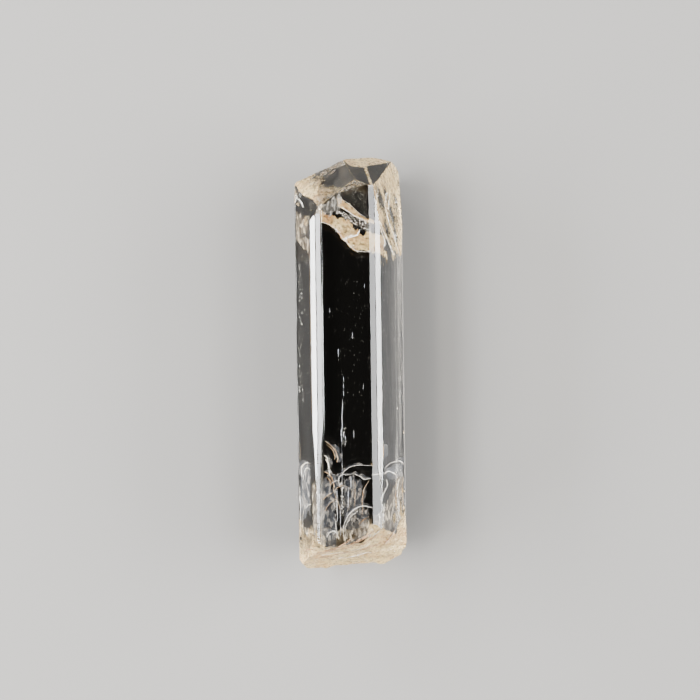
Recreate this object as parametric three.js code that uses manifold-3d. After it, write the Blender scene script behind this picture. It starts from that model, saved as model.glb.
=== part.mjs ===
// A phenakite crystal: one clear, six-sided prism with bevelled edges, lying on a prism face.
// Its far end is a blunt natural termination, part clear and part etched, and its near end is
// an old break. Millimetres, +Z up, with the prism's length along Y. The origin is the middle
// of the crystal's footprint, on the surface that it rests on.
import * as THREE from "three";
import { mergeVertices } from "three/addons/utils/BufferGeometryUtils.js";
import Module from "manifold-3d";

const wasm = await Module();
wasm.setup();

// ---- The prism ----
const PRISM_LENGTH = 26; // the blank, before its ends are cut
const PRISM_STEPS = 26; // sections along it
// The prism's walls in order, clockwise as seen from the near end, from the left end of the top
// face. look is the way a wall faces, in degrees from straight up towards +X; width is across it.
const TOP_WALLS = [
  { look: 0, width: 2.64 }, // broad top face
  { look: 25, width: 0.39 }, // right bevel, in two steps
  { look: 36, width: 0.38 },
  { look: 59.3, width: 1.72 }, // right side, with a low growth step along it
  { look: 61.6, width: 0.78 },
  { look: 82, width: 0.57 }, // steep strip at the widest place
  { look: 120, width: 1.9 },
  { look: 150, width: 0.42 },
];
const BASE_LOOK = 180; // the face that it rests on
const LEFT_WALLS_BELOW = [{ look: 210, width: 0.1 }];
const LOWER_LEFT_LOOK = 240;
const LEFT_WALLS_ABOVE = [
  { look: 270, width: 0.9 },
  { look: 300, width: 1.74 }, // left side
  { look: 324, width: 0.4 }, // left bevel, in two steps
  { look: 335, width: 0.44 },
];
const LEFT_SIDE_REACH = 3.15; // from the middle plane to the left edge strip
// Towards the near end, two bevels narrow almost to nothing: the whole left one, and the outer
// step of the right one. start is a place along Y, run is the length over which most of it goes,
// and share is how much of the width is gone in the end.
const LEFT_FADE = { share: 0.85, start: -3.8, run: 2.5 };
const RIGHT_FADE = { share: 0.95, start: -6.2, run: 0.9 };

// ---- The faces at the two ends ----
// turn is the way a face looks, in degrees from +Y towards +X, lean is how far it is tipped from
// facing straight up, and reach is its distance from the origin.
const FAR_FACES = [
  { turn: -34.7, lean: 51.9, reach: 9.54, relief: shoulderRelief }, // great end face, left half
  { turn: 3, lean: 55.8, reach: 11.27, relief: null }, // great end face, clear right half
  { turn: 23.8, lean: 53, reach: 10.585, relief: null }, // small clear face to the right of it
  { turn: 2.3, lean: 62.8, reach: 11.5665, relief: crescentRelief }, // crescent at the tip
  { turn: -22.8, lean: 88, reach: 10.85, relief: etchedRelief }, // left of the crescent
  { turn: 84.2, lean: 63.5, reach: 4.28, relief: streakRelief }, // worn right shoulder
  { turn: -70.3, lean: 51.3, reach: 6.61, relief: etchedRelief }, // facet on the left corner
  { turn: -18.7, lean: 120, reach: 8.2, relief: etchedRelief }, // underside, left
  { turn: 17.5, lean: 115, reach: 9.66, relief: etchedRelief }, // underside, right
  { turn: -62.7, lean: 78.5, reach: 7.81, relief: etchedRelief }, // left corner
  { turn: 53, lean: 85, reach: 9.2, relief: etchedRelief }, // right corner
];
const NEAR_FACES = [
  { turn: 174, lean: 62.5, reach: 11.46, relief: breakRelief }, // main break
  { turn: 141, lean: 57.8, reach: 9.67, relief: breakRelief }, // break, right half
  { turn: 95.3, lean: 66.6, reach: 4.415, relief: streakRelief }, // flake off the right side
  { turn: 128.9, lean: 67.7, reach: 9.32, relief: breakRelief }, // bevelled right corner
  { turn: 178, lean: 115.8, reach: 9.86, relief: etchedRelief }, // undercut
  { turn: 230.3, lean: 88, reach: 9.87, relief: etchedRelief }, // left corner
  { turn: 267, lean: 60, reach: 4.69, relief: etchedRelief }, // flake off the left side
];
const CUTTER_SIZE = 12; // across a cutting block, wider than the prism
const CELL = 0.24; // spacing of the points that carry the relief
const PLAIN_CELLS = 1;
const END_DISTANCE = 10.5; // from the origin to the middle of each end
const MIDDLE_HEIGHT = 2.5;

// ---- Relief, in millimetres of height ----
const SHOULDER_LUMP = 0.13;
const SHOULDER_EDGE = -0.5; // X where the etched shoulder gives way to the clear face
const SHOULDER_BLEND = 0.9;
const ETCH_LUMP = 0.05;
const STREAK_HEIGHT = 0.05;
const STREAK_PITCH = 0.55;
const STREAK_SLANT = 0.62; // how far a streak runs across for each millimetre along
const CRESCENT_MIDDLE = 0.75; // X where the crescent's lower border comes lowest
const CRESCENT_DISH = 0.085; // how it rises to the left of there, for each millimetre squared
const CRESCENT_FALL = 0.113; // how it falls away to the right of there, for each millimetre
const BREAK_LUMP = 0.11;
const BREAK_STEP = 0.11; // height of a ledge in the break
const BREAK_RISE = 0.5; // share of a ledge that is its riser
const RIPPLE_HEIGHT = 0.03;
const RIPPLE_PITCH = 0.75;
const STRIKE_POINT = new THREE.Vector3(3.4, -9.6, 4.4); // where the ripples spread from

// ---- Shallow shell-shaped chips off the rims: place, the way each looks, its radius and depth ----
const CHIPS = [
  { at: [3.07, 9.9, 2.5], look: [1, 0.1, 0.15], radius: 1.1, depth: 0.1 },
  { at: [-2.2, -10.8, 4.5], look: [-0.4, -0.6, 0.7], radius: 1.3, depth: 0.3 },
  { at: [1.3, -9.4, 4.95], look: [0.2, -0.4, 0.9], radius: 1.2, depth: 0.12 },
  { at: [3.12, -7, 2.2], look: [1, 0, 0.1], radius: 1.3, depth: 0.07 },
  { at: [-3.15, -9.8, 2.8], look: [-1, -0.1, 0.1], radius: 1.2, depth: 0.08 },
];
const CHIP_SIDES = 20;

// The direction across a wall, for a walk clockwise round the section.
function wallStep(wall) {
  const look = THREE.MathUtils.degToRad(wall.look);
  return new THREE.Vector2(Math.cos(look), -Math.sin(look)).multiplyScalar(wall.width);
}

// The section's corners, X across and Y up. The base and the lower left wall get the widths
// that close the walk.
function sectionCorners() {
  const known = [...TOP_WALLS, ...LEFT_WALLS_BELOW, ...LEFT_WALLS_ABOVE];
  const open = known.reduce((sum, wall) => sum.add(wallStep(wall)), new THREE.Vector2());
  const lowerLeftUnit = wallStep({ look: LOWER_LEFT_LOOK, width: 1 });
  const lowerLeftWidth = -open.y / lowerLeftUnit.y;
  const baseWidth = open.x + lowerLeftWidth * lowerLeftUnit.x;
  const walls = [
    ...TOP_WALLS,
    { look: BASE_LOOK, width: baseWidth },
    ...LEFT_WALLS_BELOW,
    { look: LOWER_LEFT_LOOK, width: lowerLeftWidth },
    ...LEFT_WALLS_ABOVE,
  ];
  const corners = [];
  const corner = new THREE.Vector2();
  for (const wall of walls) {
    corners.push(corner.clone());
    corner.add(wallStep(wall));
  }
  const left = Math.min(...corners.map((c) => c.x));
  const bottom = Math.min(...corners.map((c) => c.y));
  return corners.map((c) => new THREE.Vector2(c.x - left - LEFT_SIDE_REACH, c.y - bottom));
}

function prismBlank() {
  const shape = new THREE.Shape(sectionCorners());
  const run = { depth: PRISM_LENGTH, steps: PRISM_STEPS, bevelEnabled: false };
  const geometry = new THREE.ExtrudeGeometry(shape, run);
  geometry.translate(0, 0, -PRISM_LENGTH / 2);
  geometry.rotateX(Math.PI / 2);
  const corners = sectionCorners();
  narrow(geometry, [corners.at(-2), corners.at(-1), corners[0]], [300, 0], LEFT_FADE);
  narrow(geometry, [corners[2], corners[3]], [25, 59.3], RIGHT_FADE);
  return geometry;
}

// Draws a bevel's corners in, towards the line where the walls on its two sides would meet.
function narrow(geometry, bevel, looks, fade) {
  const before = wallStep({ look: looks[0], width: 1 });
  const after = wallStep({ look: looks[1], width: 1 });
  const gap = bevel.at(-1).clone().sub(bevel[0]);
  const reach = gap.cross(after) / before.cross(after);
  const meeting = before.multiplyScalar(reach).add(bevel[0]);
  const position = geometry.attributes.position;
  for (let i = 0; i < position.count; i++) {
    const place = new THREE.Vector2(position.getX(i), position.getZ(i));
    if (!bevel.some((corner) => corner.distanceTo(place) < 1e-4)) continue;
    const past = Math.min(0, (position.getY(i) - fade.start) / fade.run);
    place.lerp(meeting, fade.share * (1 - Math.exp(past)));
    position.setX(i, place.x);
    position.setZ(i, place.y);
  }
}

// A repeatable height between -1 and 1 for one cell of a grid.
function cellHeight(i, j, k) {
  const s = Math.sin(i * 127.1 + j * 311.7 + k * 74.7) * 43758.5453;
  return 2 * (s - Math.floor(s)) - 1;
}

// Smooth uneven ground between -1 and 1, with lumps about one pitch across.
function unevenness(p, pitch) {
  const [x, y, z] = [p.x / pitch, p.y / pitch, p.z / pitch];
  const [i, j, k] = [Math.floor(x), Math.floor(y), Math.floor(z)];
  const ease = (t) => t * t * (3 - 2 * t);
  const [u, v, w] = [ease(x - i), ease(y - j), ease(z - k)];
  const lerp = THREE.MathUtils.lerp;
  const edge = (b, c) => lerp(cellHeight(i, j + b, k + c), cellHeight(i + 1, j + b, k + c), u);
  return lerp(lerp(edge(0, 0), edge(1, 0), v), lerp(edge(0, 1), edge(1, 1), v), w);
}

// Turns a slope into flat treads with steep risers between them.
function ledges(height) {
  const level = height / BREAK_STEP;
  const tread = Math.floor(level);
  const rise = THREE.MathUtils.smoothstep(level - tread, 1 - BREAK_RISE, 1);
  return (tread + rise) * BREAK_STEP;
}

function shoulderRelief(p) {
  const etched = 1 - THREE.MathUtils.smoothstep(p.x, SHOULDER_EDGE - SHOULDER_BLEND, SHOULDER_EDGE);
  return etched * SHOULDER_LUMP * (unevenness(p, 0.8) + 0.5 * unevenness(p, 0.4));
}

function crescentRelief(p) {
  const off = p.x - CRESCENT_MIDDLE;
  return off < 0 ? CRESCENT_DISH * off * off : -CRESCENT_FALL * off;
}

function etchedRelief(p) {
  return ETCH_LUMP * (unevenness(p, 0.6) + 0.5 * unevenness(p, 0.3));
}

function streakRelief(p) {
  const across = (p.z + STREAK_SLANT * p.y) / STREAK_PITCH;
  const wander = 0.6 * unevenness(p, 1.1);
  return STREAK_HEIGHT * (Math.abs(((across + wander) % 1) - 0.5) - 0.25 + 0.4 * unevenness(p, 0.5));
}

function breakRelief(p) {
  const lumps = BREAK_LUMP * (1.6 * unevenness(p, 1.9) + 0.4 * unevenness(p, 0.9));
  const ripples = RIPPLE_HEIGHT * Math.cos((2 * Math.PI * p.distanceTo(STRIKE_POINT)) / RIPPLE_PITCH);
  return ledges(lumps) + ripples;
}

// A block that takes away everything beyond one end face. Its cutting side carries the relief.
function endCutter({ turn, lean, reach, relief }) {
  const cells = relief ? Math.round(CUTTER_SIZE / CELL) : PLAIN_CELLS;
  const block = new THREE.BoxGeometry(CUTTER_SIZE, CUTTER_SIZE, CUTTER_SIZE / 2, cells, cells, 1);
  block.translate(0, 0, CUTTER_SIZE / 4);
  const outward = new THREE.Vector3(
    Math.sin(THREE.MathUtils.degToRad(turn)) * Math.sin(THREE.MathUtils.degToRad(lean)),
    Math.cos(THREE.MathUtils.degToRad(turn)) * Math.sin(THREE.MathUtils.degToRad(lean)),
    Math.cos(THREE.MathUtils.degToRad(lean)),
  );
  const middle = faceMiddle(outward, reach);
  const sideways = new THREE.Vector3(-outward.y, outward.x, 0).normalize();
  const upSlope = new THREE.Vector3().crossVectors(outward, sideways);
  const place = new THREE.Matrix4().makeBasis(sideways, upSlope, outward).setPosition(middle);
  block.applyMatrix4(place);
  if (relief) raise(block, outward, reach, relief);
  return block;
}

// The point of a face that lies nearest the crystal's own end, where the block is centred.
function faceMiddle(outward, reach) {
  const end = new THREE.Vector3(0, Math.sign(outward.y) * END_DISTANCE, MIDDLE_HEIGHT);
  return end.addScaledVector(outward, reach - end.dot(outward));
}

// Moves the cutting side's points along the face's outward direction by the relief there.
function raise(block, outward, reach, relief) {
  const position = block.attributes.position;
  const p = new THREE.Vector3();
  for (let i = 0; i < position.count; i++) {
    p.fromBufferAttribute(position, i);
    if (p.dot(outward) > reach + 0.01) continue;
    p.addScaledVector(outward, relief(p));
    position.setXYZ(i, p.x, p.y, p.z);
  }
}

function chip({ at, look, radius, depth }) {
  const outward = new THREE.Vector3(...look).normalize();
  const centre = new THREE.Vector3(...at).addScaledVector(outward, radius - depth);
  return new THREE.SphereGeometry(radius, CHIP_SIDES, CHIP_SIDES / 2).translate(...centre);
}

function solid(geometry) {
  const bare = geometry.index ? geometry.toNonIndexed() : geometry.clone();
  bare.deleteAttribute("normal");
  bare.deleteAttribute("uv");
  const merged = mergeVertices(bare, 1e-5);
  const mesh = { numProp: 3, vertProperties: merged.attributes.position.array };
  return new wasm.Manifold(new wasm.Mesh({ ...mesh, triVerts: new Uint32Array(merged.index.array) }));
}

function geometryOf(manifold) {
  const mesh = manifold.getMesh();
  const geometry = new THREE.BufferGeometry();
  geometry.setAttribute("position", new THREE.BufferAttribute(new Float32Array(mesh.vertProperties), 3));
  geometry.setIndex(new THREE.BufferAttribute(new Uint32Array(mesh.triVerts), 1));
  geometry.computeVertexNormals();
  return geometry;
}

// Puts the origin in the middle of the footprint, on the lowest face.
function settle(geometry) {
  geometry.computeBoundingBox();
  const { min, max } = geometry.boundingBox;
  return geometry.translate(-(min.x + max.x) / 2, -(min.y + max.y) / 2, -min.z);
}

function crystalGeometry() {
  const cutters = [...[...FAR_FACES, ...NEAR_FACES].map(endCutter), ...CHIPS.map(chip)];
  const cut = cutters.reduce((body, cutter) => body.subtract(solid(cutter)), solid(prismBlank()));
  return settle(geometryOf(cut));
}

const phenakite = new THREE.MeshStandardMaterial({
  color: 0xe9e4dc,
  roughness: 0.05,
  metalness: 0,
  transparent: true,
  opacity: 0.4,
});

const crystal = new THREE.Mesh(crystalGeometry(), phenakite);
crystal.name = "phenakite_crystal";

const part = new THREE.Group();
part.add(crystal);

export default part;
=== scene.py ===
import math
import random

import bmesh
import bpy
import numpy as np
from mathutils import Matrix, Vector
from mathutils.bvhtree import BVHTree


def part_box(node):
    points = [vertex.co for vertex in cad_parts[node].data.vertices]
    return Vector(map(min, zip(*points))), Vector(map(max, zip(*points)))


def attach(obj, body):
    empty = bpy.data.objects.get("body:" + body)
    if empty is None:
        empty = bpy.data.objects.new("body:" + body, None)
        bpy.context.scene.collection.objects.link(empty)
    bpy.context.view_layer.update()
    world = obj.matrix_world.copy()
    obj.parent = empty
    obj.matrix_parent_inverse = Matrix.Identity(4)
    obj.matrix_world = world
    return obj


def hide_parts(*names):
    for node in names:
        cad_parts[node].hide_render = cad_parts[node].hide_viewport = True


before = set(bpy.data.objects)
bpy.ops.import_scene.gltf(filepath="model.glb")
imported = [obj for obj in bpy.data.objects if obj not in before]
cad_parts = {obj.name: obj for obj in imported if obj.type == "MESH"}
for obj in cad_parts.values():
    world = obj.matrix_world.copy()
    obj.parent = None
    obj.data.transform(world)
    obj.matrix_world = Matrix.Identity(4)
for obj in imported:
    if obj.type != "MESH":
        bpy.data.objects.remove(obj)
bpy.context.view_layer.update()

# ---- The grown prism ----
# One clear phenakite crystal, a six-sided prism with bevelled long edges, lying on a prism face.
# Its walls grew flat, with fine striations along the length, and handling has worn its edges a
# little. Millimetres here; a mesh is brought to metres when it is made.
MM = 0.001
PRISM_LENGTH = 26
PRISM_RINGS = 90
WORN_EDGE = 0.035
STRIATION_PITCH = 0.1
STRIATION_RUN = 5.0
BASE_LOOK = 180
LOWER_LEFT_LOOK = 240
LEFT_SIDE_LOOK = 300
LEFT_BEVEL_LOOK = 324
UPPER_BEVEL_LOOK = 335
RIGHT_SIDE_LOOK = 59.3
LOWER_SIDE_LOOK = 61.6
LEFT_SIDE_REACH = 3.15
# Towards the near end two bevels narrow almost to nothing: the whole left one, and the outer
# step of the right one. For each: the share that is gone in the end, the place along Y where it
# starts, and the length over which most of it goes.
LEFT_FADE = (0.85, -3.8, 2.5)
RIGHT_FADE = (0.95, -6.2, 0.9)
RIGHT_STEP_LOOK = 36
# The walls clockwise from the left end of the top face, as seen from the near end: the way each
# looks, in degrees from straight up towards +X, its width, and the height of its striations.
WALLS = [
    (0, 2.64, 0.0012),
    (25, 0.39, 0.003),
    (RIGHT_STEP_LOOK, 0.38, 0.003),
    (RIGHT_SIDE_LOOK, 1.72, 0.0025),
    (LOWER_SIDE_LOOK, 0.78, 0.0025),
    (82, 0.57, 0.004),
    (120, 1.9, 0.004),
    (150, 0.42, 0.004),
    (BASE_LOOK, None, 0.002),
    (210, 0.1, 0.002),
    (LOWER_LEFT_LOOK, None, 0.004),
    (270, 0.9, 0.004),
    (LEFT_SIDE_LOOK, 1.74, 0.003),
    (LEFT_BEVEL_LOOK, 0.4, 0.003),
    (UPPER_BEVEL_LOOK, 0.44, 0.003),
]
CORNER_SHARES = (0.25, 0.5, 0.75)


def cell_height(i, j, k):
    """A repeatable height between -1 and 1 for each cell of a grid."""
    s = np.sin(i * 127.1 + j * 311.7 + k * 74.7) * 43758.5453
    return 2 * (s - np.floor(s)) - 1


def unevenness(points, pitch):
    """Smooth uneven ground between -1 and 1, with lumps about one pitch across."""
    scaled = np.asarray(points, float) / pitch
    cell = np.floor(scaled)
    part = scaled - cell
    u, v, w = (part * part * (3 - 2 * part)).T
    i, j, k = cell.T

    def edge(b, c):
        start = cell_height(i, j + b, k + c)
        return start + (cell_height(i + 1, j + b, k + c) - start) * u

    low = edge(0, 0) + (edge(1, 0) - edge(0, 0)) * v
    high = edge(0, 1) + (edge(1, 1) - edge(0, 1)) * v
    return low + (high - low) * w


def across_wall(look):
    """The direction across a wall, for a walk clockwise round the section."""
    turn = math.radians(look)
    return np.array([math.cos(turn), -math.sin(turn)])


def faded(fade, y):
    """How much of a fading bevel's width is gone at one place along the prism."""
    share, start, run = fade
    return share * (1 - math.exp(min(0, (y - start) / run)))


def narrowed(corners, bevel, before, after, gone):
    """Draws a bevel's corners in, towards where the walls on its two sides would meet."""
    gap = corners[bevel[-1]] - corners[bevel[0]]
    reach = (gap[0] * after[1] - gap[1] * after[0]) / (before[0] * after[1] - before[1] * after[0])
    meeting = corners[bevel[0]] + before * reach
    for i in bevel:
        corners[i] = meeting + (corners[i] - meeting) * (1 - gone)


def section_corners(y=0.0):
    """The section's corners, X across and Z up, with the two open walls made to close it."""
    gap = sum(across_wall(look) * width for look, width, _ in WALLS if width)
    lower_left = -gap[1] / across_wall(LOWER_LEFT_LOOK)[1]
    base = gap[0] + lower_left * across_wall(LOWER_LEFT_LOOK)[0]
    closing = {LOWER_LEFT_LOOK: lower_left, BASE_LOOK: base}
    corners = [np.zeros(2)]
    for look, width, _ in WALLS:
        corners.append(corners[-1] + across_wall(look) * (width or closing[look]))
    corners = np.array(corners[:-1])
    corners[:, 0] -= corners[:, 0].min() + LEFT_SIDE_REACH
    corners[:, 1] -= corners[:, 1].min()
    looks = [wall[0] for wall in WALLS]
    left, right = looks.index(LEFT_BEVEL_LOOK), looks.index(RIGHT_STEP_LOOK)
    for bevel, first, fade in (([left, left + 1, 0], left - 1, LEFT_FADE),
                               ([right, right + 1], right - 1, RIGHT_FADE)):
        walls = across_wall(looks[first]), across_wall(looks[bevel[-1]])
        narrowed(corners, bevel, *walls, faded(fade, y))
    return corners


def wall_steps():
    """How many steps cross each wall, to carry its striations."""
    corners = section_corners()
    widths = np.linalg.norm(np.roll(corners, -1, axis=0) - corners, axis=1)
    return [max(2, round((width - 2 * WORN_EDGE) / STRIATION_PITCH)) for width in widths]


def wall_line(index, corners, steps):
    """Points across one wall, with the striation height that each may have."""
    start, end = corners[index], corners[(index + 1) % len(corners)]
    margin = min(WORN_EDGE / np.linalg.norm(end - start), 0.25)
    shares = np.linspace(margin, 1 - margin, steps + 1)
    heights = np.full(steps + 1, WALLS[index][2])
    heights[[0, -1]] = 0
    return start + shares[:, None] * (end - start), heights


def section_line(y, steps):
    """The whole section as points, with worn corners, striation heights and inward directions."""
    corners = section_corners(y)
    lines = [wall_line(i, corners, steps[i]) for i in range(len(corners))]
    points, heights, inward = [], [], []
    for i, (line, height) in enumerate(lines):
        following = lines[(i + 1) % len(lines)][0][0]
        corner = corners[(i + 1) % len(corners)]
        turn = math.radians(WALLS[i][0])
        facing = -np.array([math.sin(turn), math.cos(turn)])
        points.extend(line)
        heights.extend(height)
        inward.extend([facing] * len(line))
        for t in CORNER_SHARES:
            points.append((1 - t) ** 2 * line[-1] + 2 * t * (1 - t) * corner + t * t * following)
            heights.append(0)
            inward.append(facing)
    return np.array(points), np.array(heights), np.array(inward)


def piece_from(name, vertices, faces):
    """A mesh object from millimetre vertices, linked into the scene."""
    mesh = bpy.data.meshes.new(name)
    mesh.from_pydata((np.asarray(vertices, float) * MM).tolist(), [], faces)
    mesh.update()
    piece = bpy.data.objects.new(name, mesh)
    bpy.context.scene.collection.objects.link(piece)
    return piece


def prism_blank():
    """The prism before its ends are shaped: striated walls and two plain end caps."""
    steps = wall_steps()
    count = sum(steps) + (1 + len(CORNER_SHARES)) * len(steps)
    order = np.arange(count)
    rings = []
    for y in np.linspace(-PRISM_LENGTH / 2, PRISM_LENGTH / 2, PRISM_RINGS + 1):
        points, heights, inward = section_line(y, steps)
        place = np.column_stack([order * 1.0, np.full(count, y / STRIATION_RUN), order * 0.37])
        sunk = heights * (0.5 + 0.5 * unevenness(place, 1.3))
        section = points + inward * sunk[:, None]
        rings.append(np.column_stack([section[:, 0], np.full(count, y), section[:, 1]]))
    faces = []
    for ring in range(PRISM_RINGS):
        for i in range(count):
            a, b = ring * count + i, ring * count + (i + 1) % count
            faces.append((a, b, b + count, a + count))
    faces.append(tuple(range(count - 1, -1, -1)))
    faces.append(tuple(PRISM_RINGS * count + i for i in range(count)))
    return piece_from("phenakite", np.vstack(rings), faces)


phenakite = prism_blank()
phenakite.data.materials.append(bpy.data.materials.new("region wall"))

# ---- The two ends ----
# The far end is the natural termination: a great slanting face, half clear and half etched, a
# frosted crescent at the tip and a streaked, worn right shoulder. The near end is an old break.
# Each face is cut by a block whose cutting side carries that face's relief.
END_DISTANCE = 10.5
MIDDLE_HEIGHT = 2.5
BLOCK_SPAN = 9.6
BLOCK_DEPTH = 6
FINE_CELL = 0.07
GRAIN = 0.014
SHOULDER_EDGE = -0.5
SHOULDER_BLEND = 0.9
RIDGE_FOOT = np.array([1.24, 10.0])
RIDGE_TIP = np.array([0.92, 11.14])
RIDGE_HEIGHT = 0.05
RIDGE_WIDTH = 0.055
STREAK_PITCH = 0.55
STREAK_SLANT = 0.62
CRESCENT_MIDDLE = 0.75
BREAK_STEP = 0.11
STRIKE_POINT = np.array([3.4, -9.6, 4.4])


def smooth_step(values, low, high):
    """0 below low, 1 above high, and a smooth rise between them."""
    t = np.clip((values - low) / (high - low), 0, 1)
    return t * t * (3 - 2 * t)


def grain(points):
    """The fine tooth that every rough face has."""
    return GRAIN * (unevenness(points, 0.21) + 0.7 * unevenness(points, 0.11))


def shoulder_relief(points):
    """Etched lumps on the left, dying out towards the clear right of the great face."""
    etched = 1 - smooth_step(points[:, 0], SHOULDER_EDGE - SHOULDER_BLEND, SHOULDER_EDGE)
    lumps = 0.13 * (unevenness(points, 0.8) + 0.5 * unevenness(points, 0.4))
    return etched * (lumps + 1.5 * grain(points))


def off_ridge(points):
    """How far each point is, seen from above, from the ridge across the clear end face."""
    along = (RIDGE_TIP - RIDGE_FOOT) / np.linalg.norm(RIDGE_TIP - RIDGE_FOOT)
    away = points[:, :2] - RIDGE_FOOT
    return np.abs(away[:, 0] * along[1] - away[:, 1] * along[0])


def ridge_relief(points):
    """An almost flat face with one low ridge across it."""
    ridge = RIDGE_HEIGHT * np.exp(-((off_ridge(points) / RIDGE_WIDTH) ** 2))
    return ridge + 0.012 * unevenness(points, 0.7)


def etched_relief(points):
    """The small even lumps of a face that solution has eaten at."""
    return 0.05 * (unevenness(points, 0.6) + 0.5 * unevenness(points, 0.3)) + grain(points)


def crescent_relief(points):
    """A face that is dished to the left and falls away to the right: its lower border is an arc."""
    off = points[:, 0] - CRESCENT_MIDDLE
    dish = np.where(off < 0, 0.085 * off * off, -0.113 * off)
    return dish + 0.008 * unevenness(points * np.array([0.4, 1, 1]), 0.15) + 0.3 * grain(points)


def facet_relief(points):
    """A flatter, finer etched face."""
    return 0.03 * unevenness(points, 0.5) + 0.5 * grain(points)


def streak_relief(points):
    """Slanting grooves, coarse ones and finer ones between them."""
    across = (points[:, 2] + STREAK_SLANT * points[:, 1]) / STREAK_PITCH
    coarse = np.abs((across + 0.6 * unevenness(points, 1.1)) % 1 - 0.5) - 0.25
    fine = np.abs((3.7 * across + 0.9 * unevenness(points, 0.7)) % 1 - 0.5) - 0.25
    return 0.05 * (coarse + 0.4 * unevenness(points, 0.5)) + 0.035 * fine + 0.6 * grain(points)


def break_relief(points):
    """Steps, ripples spreading from where the blow fell, and splinters."""
    lumps = 0.11 * (1.6 * unevenness(points, 1.9) + 0.4 * unevenness(points, 0.9)) / BREAK_STEP
    tread = np.floor(lumps)
    steps = (tread + smooth_step(lumps - tread, 0.5, 1)) * BREAK_STEP
    ripples = 0.03 * np.cos(2 * np.pi * np.linalg.norm(points - STRIKE_POINT, axis=1) / 0.75)
    drawn_out = points * np.array([0.4, 1, 1])
    splinters = 0.035 * unevenness(drawn_out, 0.16) + 0.03 * unevenness(points, 0.33)
    return steps + ripples + splinters + 1.2 * grain(points)


# turn is the way a face looks, in degrees from +Y towards +X, lean is how far it is tipped from
# facing straight up, reach is its distance from the origin; then its relief and its finish.
END_FACES = [
    (-34.7, 51.9, 9.54, shoulder_relief, "shoulder"),
    (3, 55.8, 11.27, ridge_relief, "clear"),
    (23.8, 53, 10.585, ridge_relief, "clear"),
    (2.3, 62.8, 11.5665, crescent_relief, "etched"),
    (-22.8, 88, 10.85, etched_relief, "etched"),
    (84.2, 63.5, 4.28, streak_relief, "streaked"),
    (-70.3, 51.3, 6.61, facet_relief, "facet"),
    (-18.7, 120, 8.2, etched_relief, "under"),
    (17.5, 115, 9.66, etched_relief, "under"),
    (-62.7, 78.5, 7.81, etched_relief, "etched"),
    (53, 85, 9.2, etched_relief, "etched"),
    (174, 62.5, 11.46, break_relief, "broken"),
    (141, 57.8, 9.67, break_relief, "broken"),
    (95.3, 66.6, 4.415, streak_relief, "broken"),
    (128.9, 67.7, 9.32, break_relief, "broken"),
    (178, 115.8, 9.86, etched_relief, "broken"),
    (230.3, 88, 9.87, etched_relief, "broken"),
    (267, 60, 4.69, etched_relief, "flaked"),
]


def cutting_block(name, outward, middle, relief):
    """A closed block beyond one face, gridded on its cutting side where that carries relief."""
    cells = round(BLOCK_SPAN / FINE_CELL) if relief else 1
    sideways = np.array([-outward[1], outward[0], 0])
    sideways /= np.linalg.norm(sideways)
    up_slope = np.cross(outward, sideways)
    line = np.linspace(-BLOCK_SPAN / 2, BLOCK_SPAN / 2, cells + 1)
    u, v = np.meshgrid(line, line, indexing="ij")
    front = middle + u.reshape(-1, 1) * sideways + v.reshape(-1, 1) * up_slope
    if relief:
        front = front + outward * relief(front)[:, None]
    index = np.arange((cells + 1) ** 2).reshape(cells + 1, cells + 1)
    quads = np.stack([index[:-1, :-1], index[:-1, 1:], index[1:, 1:], index[1:, :-1]], axis=-1)
    half = BLOCK_SPAN / 2
    rim = [(-half, -half), (half, -half), (half, half), (-half, half)]
    back = np.array([middle + sideways * a + up_slope * b for a, b in rim])
    back = back + outward * BLOCK_DEPTH
    first = len(front)
    sides = [index[:, 0], index[-1, :], index[::-1, -1], index[0, ::-1]]
    faces = quads.reshape(-1, 4).tolist()
    for i, side in enumerate(sides):
        faces.append([*side.tolist(), first + (i + 1) % 4, first + i])
    faces.append([first, first + 1, first + 2, first + 3])
    return piece_from(name, np.vstack([front, back]), faces)


def facing(turn, lean):
    """The direction that a face looks in."""
    a, b = math.radians(turn), math.radians(lean)
    return np.array([math.sin(a) * math.sin(b), math.cos(a) * math.sin(b), math.cos(b)])


def end_block(turn, lean, reach, relief):
    """The block that cuts one face of an end."""
    outward = facing(turn, lean)
    end = np.array([0, math.copysign(END_DISTANCE, outward[1]), MIDDLE_HEIGHT])
    return cutting_block("end block", outward, end + outward * (reach - end @ outward), relief)


def carve(crystal, cutter, region):
    """Takes the cutter away from the crystal. The new faces carry that region's material."""
    cutter.data.materials.append(bpy.data.materials.new("region " + region))
    cut = crystal.modifiers.new("cut", "BOOLEAN")
    cut.object = cutter
    cut.operation = "DIFFERENCE"
    cut.solver = "MANIFOLD"
    cut.material_mode = "TRANSFER"
    graph = bpy.context.evaluated_depsgraph_get()
    mesh = bpy.data.meshes.new_from_object(crystal.evaluated_get(graph))
    crystal.modifiers.clear()
    crystal.data = mesh
    bpy.data.objects.remove(cutter)


for turn, lean, reach, relief, finish in END_FACES:
    carve(phenakite, end_block(turn, lean, reach, relief), finish)

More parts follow.
